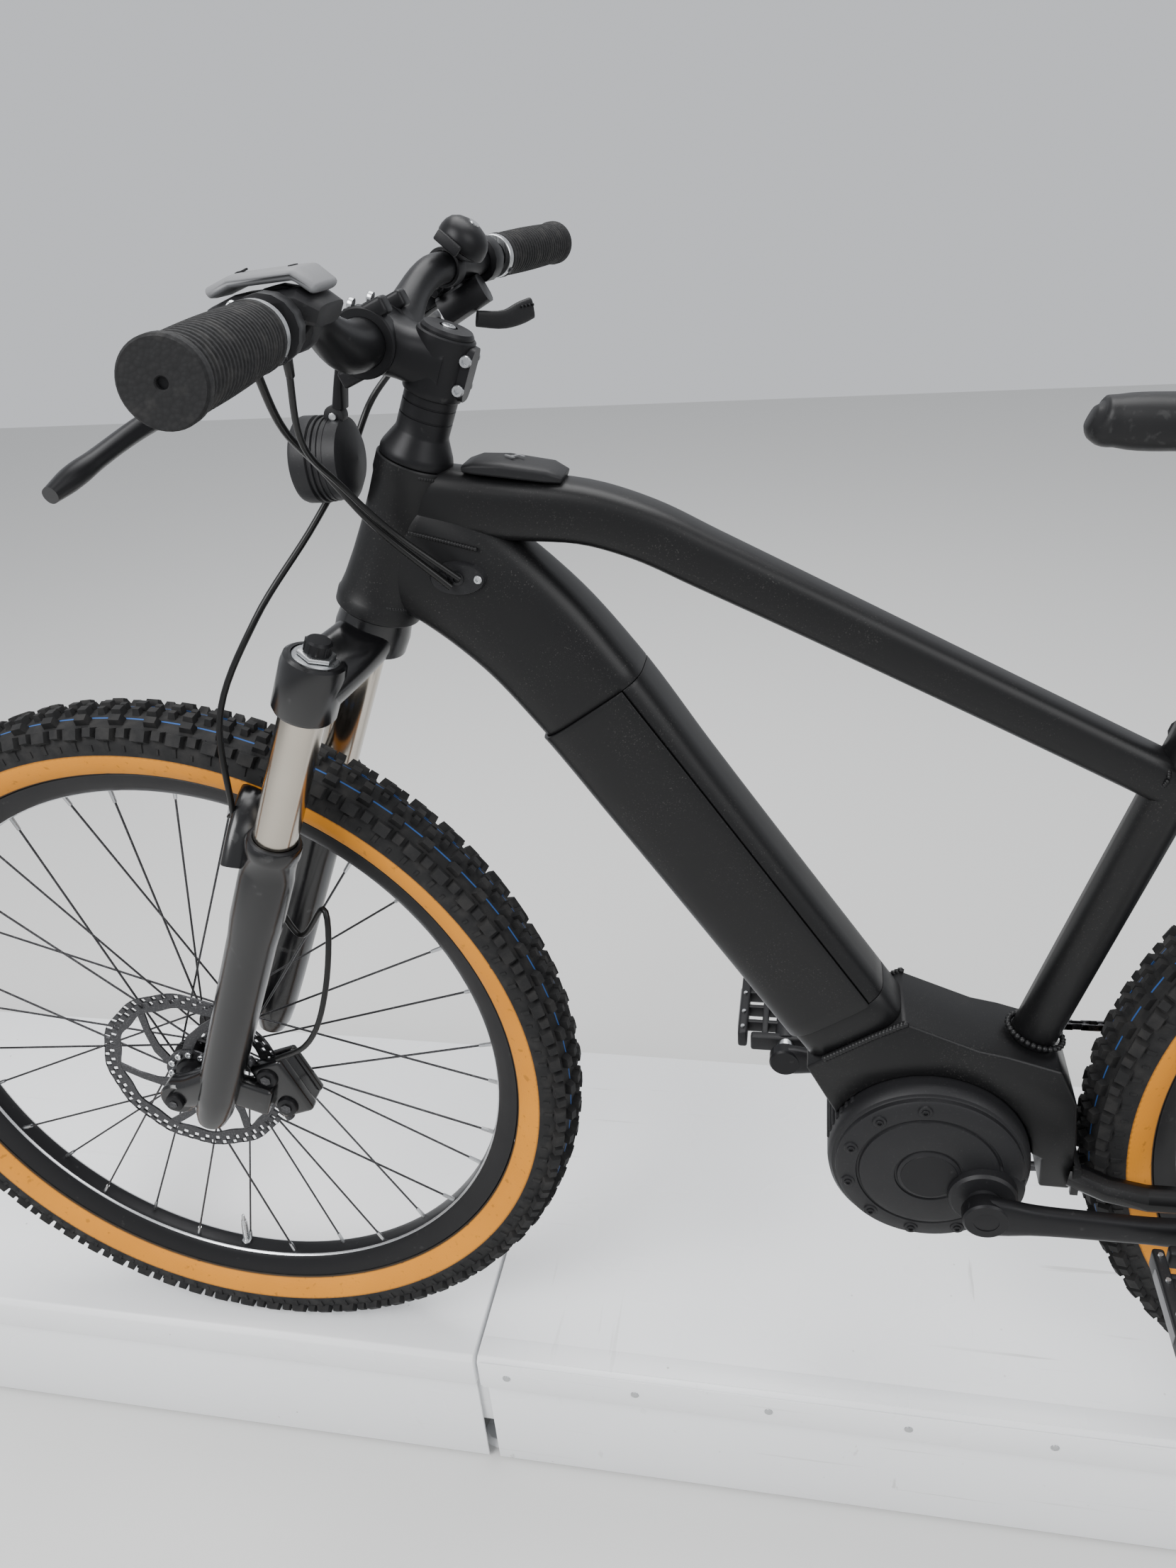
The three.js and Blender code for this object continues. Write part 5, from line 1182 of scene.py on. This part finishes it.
def chainring():
    """Toothed ring on four arms with their bolts."""
    sizes = bpy.context.scene.bicycle_sizes
    bm = bmesh.new()
    core = Vector((CRANK_AXIS.x, ZERO.y, CRANK_AXIS.z))
    loops = []
    for radius, bite in ((63, 0), (70, 0), (76, 1.7)):
        loops.append(edges_of(wavy_ring(
            bm, core, sizes.teeth * 4, radius,
            lambda angle: radius + bite * math.cos(sizes.teeth * angle))))
    for first, second in zip(loops, loops[1:]):
        bmesh.ops.bridge_loops(bm, edges=first + second)
    for vert in bm.verts:
        vert.co.y = core.y + 51 * MM
    thickened(bm, bm.faces[:], 2.2, True)
    revolve(bm, [(13, 50.6), (27, 50.6), (28, 51.4), (28, 53), (13, 53.4)], core, AXIS_Y, 48)
    for k in range(4):
        angle = math.radians(45 + 90 * k)
        out = Vector((math.cos(angle), 0, math.sin(angle)))
        skin(bm, [(core + AXIS_Y * 0.052 + out * r * MM, 2.6, w, 3)
                  for r, w in ((20, 26), (44, 17), (66, 22))], 20)
        rod(bm, core + AXIS_Y * 0.0535 + out * 0.062, core + AXIS_Y * 0.0552 + out * 0.062, 4.6,
            4.4, 16, 0.4, 1)
    piece("chainring_toothed", bm, ["dark", "steel"], "drive", ["chainring"], 30)


def chain_route():
    """Closed route of pitch points over the ring, the sprockets and the lower wheel."""
    circles = ((RING_X, BB_Z, 80.5), (WHEELBASE, AXLE_HEIGHT, 48.4))
    span = math.hypot(WHEELBASE - RING_X, AXLE_HEIGHT - BB_Z)
    lean = math.atan2(AXLE_HEIGHT - BB_Z, WHEELBASE - RING_X)
    top = lean + math.pi / 2 - math.asin((circles[0][2] - circles[1][2]) / span)
    points = []
    for k in range(25):
        angle = top + math.radians(183.2) * k / 24
        points.append((RING_X + 84 * math.cos(angle), BB_Z + 84 * math.sin(angle)))
    points += [(WHEELBASE - 50, AXLE_HEIGHT - 100), (WHEELBASE + 20, AXLE_HEIGHT - 112)]
    for k in range(15):
        angle = math.radians(-20) + (top + math.radians(20)) * k / 14
        points.append((WHEELBASE + 48 * math.cos(angle), AXLE_HEIGHT + 48 * math.sin(angle)))
    return points + [points[0]]


def chain():
    """Roller chain, one pair of plates after another round its route."""
    pitch = bpy.context.scene.bicycle_sizes.links / MM
    bm = bmesh.new()
    route = chain_route()
    marks = [0.0]
    for a, b in zip(route, route[1:]):
        marks.append(marks[-1] + math.dist(a, b))
    count = int(marks[-1] / pitch)
    pitch = marks[-1] / count

    def along(distance):
        distance %= marks[-1]
        for i in range(len(marks) - 1):
            if distance <= marks[i + 1]:
                t = (distance - marks[i]) / (marks[i + 1] - marks[i])
                return at(route[i][0] + t * (route[i + 1][0] - route[i][0]), CHAIN_Y,
                          route[i][1] + t * (route[i + 1][1] - route[i][1]))
        return at(route[0][0], CHAIN_Y, route[0][1])

    for k in range(count):
        start, end = along(k * pitch), along((k + 1) * pitch)
        line = end - start
        turn = Matrix.Rotation(-math.atan2(line.z, line.x), 3, "Y")
        wide = 2.7 if k % 2 else 1.8
        for side in (-1, 1):
            block(bm, (start + end) / 2 + AXIS_Y * side * wide * MM,
                  (line.length / MM + 6.4, 0.8, 6.6), turn, 2.4, 2)
        rod(bm, start - AXIS_Y * 0.0031, start + AXIS_Y * 0.0031, 2.6, 2.6, 8)
    piece("roller_chain", bm, ["dark"], "bicycle", ["chain"], 40)


def pedal(side):
    """Platform pedal: a window frame with ribs, an axle and grip pins."""
    name = HANDS[side]
    body = "pedal_l" if side < 0 else "pedal_r"
    low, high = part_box("pedal_" + name)
    centre = Vector(((low[0] + high[0]) / 2, ZERO.y + side * 149 * MM, (low[2] + high[2]) / 2))
    bm = bmesh.new()
    for dy in (-44, 44):
        length = 78 if dy * side > 0 else 66
        block(bm, centre + Vector((0, dy, 0)) * MM, (length, 9, 17), None, 2.5, 3)
    for dx in (-41, 41):
        block(bm, centre + Vector((dx, 0, 0)) * MM, (9, 88, 18), None, 2.5, 3)
    for dx in (-20, 20):
        block(bm, centre + Vector((dx, 0, 0)) * MM, (6, 84, 13), None, 1.5)
    for dy in (-22, 0, 22):
        block(bm, centre + Vector((0, dy, 0)) * MM, (80, 5, 12), None, 1.2)
    core = centre + AXIS_Y * side * 0.046
    rod(bm, centre - AXIS_Y * side * 0.058, core, 8, 6.4, 24, 0.6, 1)
    rod(bm, centre - AXIS_Y * side * 0.046, core, 10.5, 9, 24, 0.8, 0)
    for dx in (-41, 41):
        for dy in (-36, -14, 14, 36):
            for up in (-1, 1):
                pin = centre + Vector((dx, dy, up * 8.6)) * MM
                rod(bm, pin, pin + AXIS_Z * up * 0.0028, 2.1, 1.8, 8, 0, 1)
        block(bm, centre + Vector((dx * 1.115, 0, 0)) * MM, (1.4, 56, 9), None, 0.5, 2, 2)
    piece("pedal_cage_" + name, bm, ["moulded", "steel", "grey"], body, ["pedal_" + name],
          34)


# ---------------------------------------------------------------- cockpit
def headset_and_stem():
    """Turned headset cover and spacers, and the stem with its clamp."""
    bm = bmesh.new()
    cone = [(14.7, 600.5), (24.8, 600.5), (25.2, 601.2), (25.2, 604.6), (24.2, 607.4), (18.8, 618),
            (18.1, 620), (18.1, 629.4), (17.5, 629.8), (17.5, 630.4), (18.1, 630.8),
            (18.1, 638.4), (17.5, 638.8), (17.5, 639.4), (18.1, 639.8), (18.1, 644.6),
            (14.7, 644.6)]
    revolve(bm, cone, steer(0), UP, 56)
    piece("headset_cover_and_spacers", bm, ["anodised"], "steering", ["headset_cover"],
          32)

    bm = bmesh.new()
    collar = [(14.6, 645.2), (19.4, 645.2), (20.2, 646.4), (20.2, 650), (19.4, 656), (19.2, 674),
              (19.8, 680), (19.6, 684), (18.6, 685), (14.6, 685)]
    revolve(bm, collar, steer(0), UP, 56)
    middle_place = (STEM_LOW + STEM_TOP) / 2
    arm = [(steer(middle_place, -6), 39, 39, 2.8), (steer(middle_place, 8), 40, 38, 2.8),
           (steer(middle_place, 22), 42, 35, 2.8), (steer(middle_place, 36), 47, 38, 3.2)]
    skin(bm, flowing(arm, 4), 36)
    ears = [(steer(middle_place, -14), 22, 37, 3.6), (steer(middle_place, -22), 20, 35, 3.6)]
    skin(bm, ears, 28)
    revolve(bm, [(16.2, -24), (20.2, -24), (20.9, -23), (20.9, 23), (20.2, 24), (16.2, 24)],
            BAR_MIDDLE, AXIS_Y, 56)
    for dy in (-18, 18):
        hand = AXIS_Y * dy * MM
        revolve(bm, [(16.1, -7), (20.8, -7), (21.9, -5.6), (21.9, 5.6), (20.8, 7), (16.1, 7)],
                BAR_MIDDLE + hand, AXIS_Y, 56)
        for lift in (-19.2, 19.2):
            spot = BAR_MIDDLE + hand + UP * lift * MM
            block(bm, spot, (11.5, 13, 24), Matrix.Rotation(-math.radians(22.5), 3, "Y")
                  @ Matrix.Rotation(math.radians(90), 3, "Y"), 2.6, 3)
            screw(bm, spot + AHEAD * 0.0122, AHEAD, 3.9, 3.4, 1)
    for dy in (-11, 11):
        block(bm, BAR_MIDDLE + AHEAD * 0.0165 + AXIS_Y * dy * MM, (28, 6, 7),
              Matrix.Rotation(-HEAD_ANGLE, 3, "Y"), 2, 3)
    for place in (middle_place - 9.5, middle_place + 9.5):
        screw(bm, steer(place, -18.4, -10), -AXIS_Y, 4.0, 3.0, 1)
        screw(bm, steer(place, -18.4, 10), AXIS_Y, 4.0, 3.0, 1)
    cap = [(0.01, 684.8), (17.6, 684.8), (17.6, 686.6), (16.2, 688.6), (6, 689.0), (6, 687.6),
           (0.01, 687.6)]
    revolve(bm, cap, steer(0), UP, 48, False)
    screw(bm, steer(687.4), UP, 4.6, 2.4, 1)
    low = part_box("stem")[0]
    hanger = BAR_MIDDLE + Vector((-0.031, 0, -0.036))
    skin(bm, flowing([(BAR_MIDDLE + AHEAD * 0.017 + UP * -0.012, 20, 8, 3),
                      (hanger + Vector((0.004, 0, 0.012)), 17, 7, 3),
                      (Vector((hanger.x, hanger.y, low[2] + 0.003)), 15, 9, 3)], 4), 20)
    piece("stem_forged", bm, ["anodised", "steel"], "steering", ["stem"], 34)


def handlebar():
    """Bar that swells at the clamp, rises and sweeps back."""
    bm = bmesh.new()
    stations = []
    for k in range(-24, 25):
        distance = abs(k) / 24 * (BAR_HALF - 1)
        side = -1 if k < 0 else 1
        fat = min(max((distance - 40) / 55, 0), 1)
        radius = 15.9 - 4.8 * fat * fat * (3 - 2 * fat)
        stations.append((bar_point(distance, side), 2 * radius, 2 * radius, 2))
    skin(bm, flowing(stations, 2), 28, None)
    piece("handlebar_bent", bm, ["anodised"], "steering", ["handlebar"], 32)


def grip(side):
    """Ribbed rubber grip with a bright clamp ring and a holed end."""
    ribs = bpy.context.scene.bicycle_sizes.grip_ribs
    end = bar_point(BAR_HALF, side)
    start = end + (bar_point(BAR_HALF - 60, side) - end).normalized() * GRIP_L * MM
    axis = (end - start).normalized()
    bm = bmesh.new()
    profile = [(11.6, 7.4), (15.4, 7.4), (16.6, 8.6), (16.6, 13)]
    step = (GRIP_L - 24) / ribs
    for k in range(ribs):
        place = 15 + k * step
        swell = 0.7 * math.sin(math.pi * k / ribs)
        profile += [(14.9 + swell, place), (16.1 + swell, place + step * 0.18),
                    (16.1 + swell, place + step * 0.62), (14.9 + swell, place + step * 0.8)]
    profile += [(16.4, GRIP_L - 8), (17.4, GRIP_L - 5), (17.4, GRIP_L + 0.4), (16.4, GRIP_L + 1.6),
                (2.9, GRIP_L + 1.6), (2.4, GRIP_L + 1.0), (2.3, GRIP_L - 5), (0.01, GRIP_L - 5)]
    revolve(bm, profile + [(0.01, GRIP_L - 7), (11.6, GRIP_L - 7)], start, axis, 44)
    revolve(bm, [(11.6, 0.3), (15.6, 0.3), (16.2, 1.0), (16.2, 6.4), (15.6, 7.2), (11.6, 7.2)],
            start, axis, 44, True, 1)
    screw(bm, start + axis * 0.0037 + Vector((0.012, 0, -0.0105)), Vector((0.75, 0, -0.66)), 2.4,
          1.4, 2)
    name = HANDS[side]
    piece("grip_ribbed_" + name, bm, ["grip", "steel", "dark"], "steering", ["grip_" + name],
          30)


def brake(side):
    """Lever body finish with its cap and bolts, and the finger blade."""
    name = HANDS[side]
    refined("brake_body_" + name, "anodised", "steering", 1.3)
    clamp = bar_point(LEVER_Y, side)

    def spot(x, y, z):
        return clamp + Vector((x, side * y, z)) * MM

    bm = bmesh.new()
    tank = spot(-28, -6, -15)
    cap_turn = Matrix.Rotation(math.radians(8), 3, "Y")
    block(bm, tank + Vector((0, 0, 0.0092)), (19, 27, 2.4), cap_turn, 2.4, 3)
    for dy in (-10, 10):
        screw(bm, tank + Vector((0, dy * MM, 0.0102)), AXIS_Z, 2.0, 1.2, 1)
    screw(bm, spot(-14, 8, 10), Vector((-0.7, 0, 0.7)), 3.4, 3, 1)
    screw(bm, spot(-6, 8, -15), Vector((-0.5, 0, -0.86)), 3.4, 3, 1)
    nut = spot(-26, -22, -17)
    rod(bm, nut, nut + Vector((0.002, -side * 0.012, 0)), 4.6, 4.2, 6, 0.4, 0)
    rod(bm, nut + Vector((0.002, -side * 0.012, 0)), nut + Vector((0.004, -side * 0.026, -0.001)),
        3.9, 3.0, 16, 0.5, 0)
    piece("brake_fittings_" + name, bm, ["anodised", "steel"], "steering")

    bm = bmesh.new()
    pivot = spot(-44, -2, -28)
    lever_up = Vector((-0.447, 0, 0.894)).normalized()

    def finger(x, y, z):
        return pivot + Vector((x, side * y, z)) * MM

    blade = [(finger(4, -8, 2), 10, 12, 3), (finger(-7, 14, -4), 11, 15, 3),
             (finger(-18, 40, -11), 10, 18, 3), (finger(-25, 72, -19), 10, 20, 2.8),
             (finger(-27, 88, -22.5), 11, 20, 2.6), (finger(-31.5, 99, -27), 8, 14, 2.2)]
    skin(bm, flowing(blade, 5), 22, lever_up)
    revolve(bm, [(0.01, -6), (10.4, -6), (11.4, -4.8), (11.4, 4.8), (10.4, 6), (0.01, 6)], pivot,
            lever_up, 32, False)
    screw(bm, pivot + lever_up * 0.0055, lever_up, 3.4, 1.4, 1)
    piece("brake_blade_curved_" + name, bm, ["anodised", "steel"], "lever_" + name,
          ["brake_blade_" + name], 34)


def shifter():
    """Ribbed thumb lever."""
    bm = bmesh.new()
    root = bar_point(LEVER_Y, 1) + Vector((6, -28, -39)) * MM
    tip = root + Vector((33, 33, 2)) * MM
    paddle = [(root - Vector((0.002, 0.003, 0)), 12, 5, 3),
              (root + Vector((16, 12, -3)) * MM, 14, 5, 3),
              (root + Vector((27, 25, 0)) * MM, 17, 6, 3), (tip, 16, 6, 3)]
    skin(bm, flowing(paddle, 4), 20, None)
    way = (tip - root).normalized()
    for k in range(4):
        turn = Matrix.Rotation(math.atan2(way.y, way.x), 3, "Z")
        block(bm, tip - way * (0.002 + 0.0034 * k) + AXIS_Z * 0.003, (1.4, 14, 2.0), turn, 0.5)
    piece("shifter_lever_ribbed", bm, ["moulded"], "shifter", ["shifter_lever"])


def bell():
    """Bell dome on its strap, with a sprung striker."""
    tilt = math.radians(42)
    up = Vector((math.sin(tilt), 0, math.cos(tilt)))
    seat_at = bar_point(140, 1)
    foot = seat_at + up * 0.0151
    axis = (bar_point(150, 1) - bar_point(130, 1)).normalized()
    bm = bmesh.new()
    strap = [(11.6, -6), (13.6, -6), (14, -5), (14, 5), (13.6, 6), (11.6, 6)]
    revolve(bm, strap, seat_at, axis, 36)
    revolve(bm, [(0.01, -3.4), (9, -3.4), (15, 0.4), (16, 2.2), (0.01, 2.2)], foot, up, 40, False)
    dome = [(0.01, 3.0), (17.6, 3.0), (18.6, 3.4), (19, 4.6), (19, 8), (18.2, 12), (16, 16.2),
            (12, 19.4), (7, 21.3), (0.01, 22)]
    revolve(bm, dome, foot, up, 64, False, 1)
    revolve(bm, [(0.01, 21.4), (4.2, 21.4), (4.2, 22.6), (0.01, 22.8)], foot, up, 20, False, 2)
    screw(bm, seat_at - up * 0.013, -up, 3, 2.4, 2)
    piece("bell_dome", bm, ["moulded", "anodised", "steel"], "steering", ["bell"],
          32)
    refined("bell_striker", "moulded", "striker", 1.2)


def remote():
    """Grey drive keypad: a base, a two-way key and its signs."""
    refined("remote", "moulded", "steering", 1.6)
    refined("remote_rocker", "grey", "rocker", 1.8)
    low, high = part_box("remote_rocker")
    centre = (Vector(low) + Vector(high)) / 2
    bm = bmesh.new()
    bm.from_mesh(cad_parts["remote_rocker"].data)
    key = BVHTree.FromBMesh(bm)
    bm.clear()
    for x, arms in ((-0.016, (0, 1)), (0.013, (1,))):
        over = Vector((centre.x + x, centre.y, high[2] + 0.05))
        where, normal, _, _ = key.ray_cast(over, -AXIS_Z)
        lean = AXIS_Z.rotation_difference(normal).to_matrix()
        for arm in arms:
            size = (9, 1.8, 1.0) if arm == 0 else (1.8, 9, 1.0)
            block(bm, where + normal * 0.0001, size, lean, 0.2)
    piece("remote_signs", bm, ["moulded"], "rocker")


def headlamp():
    """Round lamp: a lens in a bezel, cooling fins behind, and its tilting tab."""
    axis = Vector((1, 0, 0))
    low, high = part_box("lamp")
    core = Vector((low[0], ZERO.y, low[2] + 0.029))
    bm = bmesh.new()
    shell = [(0.01, 3), (23.6, 3), (24.4, 0.6), (26, 0.2), (28, 1.4), (29, 4), (29, 13), (27.4, 14),
             (27.4, 34), (20, 38), (0.01, 40)]
    revolve(bm, shell, core, axis, 64, False)
    for k in range(5):
        place = 15.6 + 3.9 * k
        reach = 29 - 0.6 * k
        revolve(bm, [(20, place), (reach - 0.5, place), (reach, place + 0.4), (reach, place + 1.4),
                     (reach - 0.5, place + 1.8), (20, place + 1.8)], core, axis, 64)
    revolve(bm, [(0.01, 1.2), (18, 1.6), (23.8, 2.6), (23.8, 3.2), (0.01, 3.2)], core, axis, 48,
            False, 1)
    knuckle = Vector((core.x + 0.029, core.y, high[2] - 0.007))
    rod(bm, knuckle - AXIS_Y * 0.005, knuckle + AXIS_Y * 0.005, 7, 7, 28, 0.6)
    block(bm, knuckle - AXIS_Z * 0.0055, (10, 9.6, 11), None, 1)
    rod(bm, knuckle - AXIS_Y * 0.0072, knuckle + AXIS_Y * 0.0072, 2.6, 2.6, 12, 0.3, 2)
    piece("headlamp_finned", bm, ["moulded", "lens", "steel"], "headlamp", ["lamp"],
          32)


def cables():
    """Outer casings from the bar to the frame and to the front brake."""
    left = bar_point(152, -1)
    right = bar_point(156, 1)
    shift = bar_point(152, 1)
    routes = {
        "hose_rear": ([left + Vector((-27, 0, -17)) * MM, at(236, -108, 928), at(236, -66, 896),
                       at(256, -48, 856), at(300, -33, 806)], 2.5, "bicycle", (236, -66, 896)),
        "remote_cable": ([left + Vector((-6, 0, -20)) * MM, at(250, -116, 920), at(250, -72, 886),
                          at(268, -50, 852), at(307, -34, 812)], 2.0, "bicycle", (250, -72, 886)),
        "shift_cable": ([shift + Vector((-18, 0, -40)) * MM, at(244, 108, 930), at(262, 66, 888),
                         at(296, 40, 846), at(324, 27, 822)], 2.2, "bicycle", (262, 66, 888)),
        "hose_front": ([right + Vector((-27, 0, -17)) * MM, at(238, 100, 936), at(228, 52, 912),
                        at(214, 37, 880), at(192, 10, 842), at(150, -30, 782),
                        steer(374, 84, -44), steer(312, 62, -50), steer(264, 50, -39),
                        steer(224, 16, -37), steer(200, -12, -39), at(164, -48, 545),
                        at(158, -60, 475), at(128, -62, 412), at(96, -56, 390)], 2.5,
                       "fork_lower", (150, -30, 782)),
    }
    for name, (points, radius, other, bend) in routes.items():
        bm = bmesh.new()
        tube(bm, points, radius, 12, 8)
        ferrule = (points[1] - points[0]).normalized()
        rod(bm, points[0] - ferrule * 0.004, points[0] + ferrule * 0.012, radius + 1.1,
            radius + 0.6, 14, 0.4)
        made = piece(name + "_casing", bm, ["jacket"], None, [name], 40)
        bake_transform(made)


# ---------------------------------------------------------------- saddle and platform
def saddle():
    """Padded saddle with a smooth nose."""
    low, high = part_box("saddle")
    length = (high[0] - low[0]) / MM
    rows = ((0.004, 14, 14, -2), (0.02, 27, 25, -4), (0.06, 33, 30, -5), (0.2, 42, 33, -7),
            (0.45, 62, 34, -6), (0.68, 112, 35, -5), (0.86, 148, 35, -4), (0.96, 136, 31, -2),
            (0.996, 90, 18, 0))
    nose = (low[0] - ZERO.x) / MM
    stations = [(at(nose + share * length, 0, 900 + sag + 4 * share), width, height, 2.6)
                for share, width, height, sag in rows]
    bm = bmesh.new()
    skin(bm, flowing(stations, 6), 44)
    made = piece("saddle_cushion", bm, ["saddle"], "seat", ["saddle"], 60)


def platform():
    """Powder-coated deck modules, their kick plates, legs, angle and the rear wheel's holder."""
    for name in ("front", "rear"):
        refined("deck_" + name, "white", "stand", 1.4)
        refined("kick_plate_" + name, "white", "stand", 0.5)
    refined("base_frame", "white", "stand", 0.8)
    refined("wheel_stand", "dark", "stand", 0.6)
    low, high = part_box("deck_rear")
    bm = bmesh.new()
    long = high[0] - low[0] - 0.006
    front = low[1]
    middle_x = (low[0] + high[0]) / 2
    block(bm, Vector((middle_x, front - 0.0006, DECK_Z - 0.0215)), (long / MM, 1.2, 38), None, 0.4)
    block(bm, Vector((middle_x, front + 0.0165, DECK_Z + 0.0002)), (long / MM, 22, 1.0), None, 0.4)
    count = 10
    for k in range(count):
        x = low[0] + 0.03 + (long - 0.06) * k / (count - 1)
        spot = Vector((x, front - 0.0011, DECK_Z - 0.022))
        rivet = [(0.01, 0), (4.2, 0), (3.8, 1.0), (2, 1.8), (0.01, 2)]
        revolve(bm, rivet, spot, -AXIS_Y, 16, False, 1)
    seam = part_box("deck_front")[1][0] + 0.002
    joint_z = DECK_Z - 0.026
    rod(bm, Vector((seam, front + 0.02, joint_z)), Vector((seam, high[1] - 0.02, joint_z)), 5, 5,
        16)
    piece("front_angle_riveted", bm, ["white", "steel"], "stand")


def stage():
    """Plain pale floor, soft lights, camera and world."""
    bm = bmesh.new()
    bmesh.ops.create_grid(bm, x_segments=1, y_segments=1, size=6)
    floor = Paint("studio_floor", (0.62, 0.62, 0.61), 0.6)
    floor.set("Roughness", 0.55 + floor.noise(3) * 0.15)
    PAINTS["floor"] = floor.material
    made = [piece("studio_floor", bm, ["floor"], None)]
    for name, place, size, power in (("key", (-1.4, -2.2, 3.0), 2.0, 150),
                                     ("fill", (2.4, -1.8, 2.4), 2.0, 55),
                                     ("top", (0.2, 0.8, 3.4), 2.2, 90)):
        lamp = bpy.data.lights.new(name, "AREA")
        lamp.size = size
        lamp.energy = power
        holder = bpy.data.objects.new(name, lamp)
        bpy.context.scene.collection.objects.link(holder)
        holder.location = place
        aim = Vector((0, 0, 0.6)) - Vector(place)
        holder.rotation_euler = aim.to_track_quat("-Z", "Y").to_euler()
        made.append(holder)
    world = bpy.data.worlds.new("pale_studio")
    world.use_nodes = True
    sky = world.node_tree.nodes["Background"]
    sky.inputs["Color"].default_value = (0.86, 0.88, 0.92, 1)
    sky.inputs["Strength"].default_value = 0.8
    bpy.context.scene.world = world
    yaw, pitch, roll = (math.radians(a) for a in (12.376, 28.193, 4.475))
    forward = Vector((-math.sin(yaw) * math.cos(pitch), math.cos(yaw) * math.cos(pitch),
                      -math.sin(pitch)))
    level = Vector((math.cos(yaw), math.sin(yaw), 0))
    down = forward.cross(level)
    right = level * math.cos(roll) + down * math.sin(roll)
    low = -level * math.sin(roll) + down * math.cos(roll)
    lens_data = bpy.data.cameras.new("camera")
    lens_data.lens = 26.5
    lens_data.sensor_width = 36
    lens_data.clip_start = 0.02
    camera = bpy.data.objects.new("camera", lens_data)
    bpy.context.scene.collection.objects.link(camera)
    turn = Matrix((right, -low, -forward)).transposed()
    camera.matrix_world = Matrix.Translation((0.31864, -0.78371, 1.23247)) @ turn.to_4x4()
    bpy.context.scene.camera = camera


# ---------------------------------------------------------------- add-on
def build_wheels():
    build_wheel("front")
    build_wheel("rear")
    cassette()


def build_drive():
    motor()
    for side in (-1, 1):
        crank(side)
        pedal(side)
    chainring()
    chain()


def build_cockpit():
    headset_and_stem()
    handlebar()
    for side in (-1, 1):
        grip(side)
        brake(side)
    shifter()
    bell()
    remote()
    headlamp()
    cables()


class BuildPart(bpy.types.Operator):
    """Shared behaviour of the building operators"""

    bl_idname = "bicycle.part"
    bl_label = "Part"
    bl_options = {"REGISTER", "UNDO"}
    steps = ()

    def execute(self, context):
        if not PAINTS:
            make_paints()
        for step in self.steps:
            step()
        return {"FINISHED"}


def building(label, text, *steps):
    """Operator that runs the steps of one group of pieces."""
    return type("Build" + label, (BuildPart,), {
        "__doc__": text, "bl_idname": "bicycle." + label.lower(), "bl_label": label,
        "steps": steps})


BUILDERS = (
    building("Wheels", "Tyres, rims, spokes, hubs, discs and sprockets", build_wheels),
    building("Fork", "Fork legs, crown, inner tubes and dial", fork_legs, fork_crown),
    building("Frame", "Frame tubes, battery, charge door and welds", down_tube, head_and_top,
             charge_port, plain_frame, welds),
    building("Drive", "Motor, cranks, pedals, chainring and chain", build_drive),
    building("Cockpit", "Stem, bar, grips, levers, bell, keypad, lamp and cables", build_cockpit),
    building("Saddle", "Padded saddle", saddle),
    building("Platform", "Display platform and the rear wheel's holder", platform),
    building("Stage", "Floor, lights, world and camera", stage),
)


class BicyclePanel(bpy.types.Panel):
    """Lists the building operators in the 3D view's sidebar"""

    bl_idname = "VIEW3D_PT_bicycle"
    bl_label = "Bicycle"
    bl_space_type = "VIEW_3D"
    bl_region_type = "UI"
    bl_category = "Bicycle"

    def draw(self, context):
        for name in BicycleSizes.__annotations__:
            self.layout.prop(context.scene.bicycle_sizes, name)
        for builder in BUILDERS:
            self.layout.operator(builder.bl_idname)


CLASSES = (BicycleSizes,) + BUILDERS + (BicyclePanel,)


def register():
    for item in CLASSES:
        bpy.utils.register_class(item)
    bpy.types.Scene.bicycle_sizes = bpy.props.PointerProperty(type=BicycleSizes)


def unregister():
    del bpy.types.Scene.bicycle_sizes
    for item in reversed(CLASSES):
        bpy.utils.unregister_class(item)


def main():
    register()
    make_paints()
    for builder in BUILDERS:
        group, name = builder.bl_idname.split(".")
        getattr(getattr(bpy.ops, group), name)()


if __name__ == "__main__":
    main()
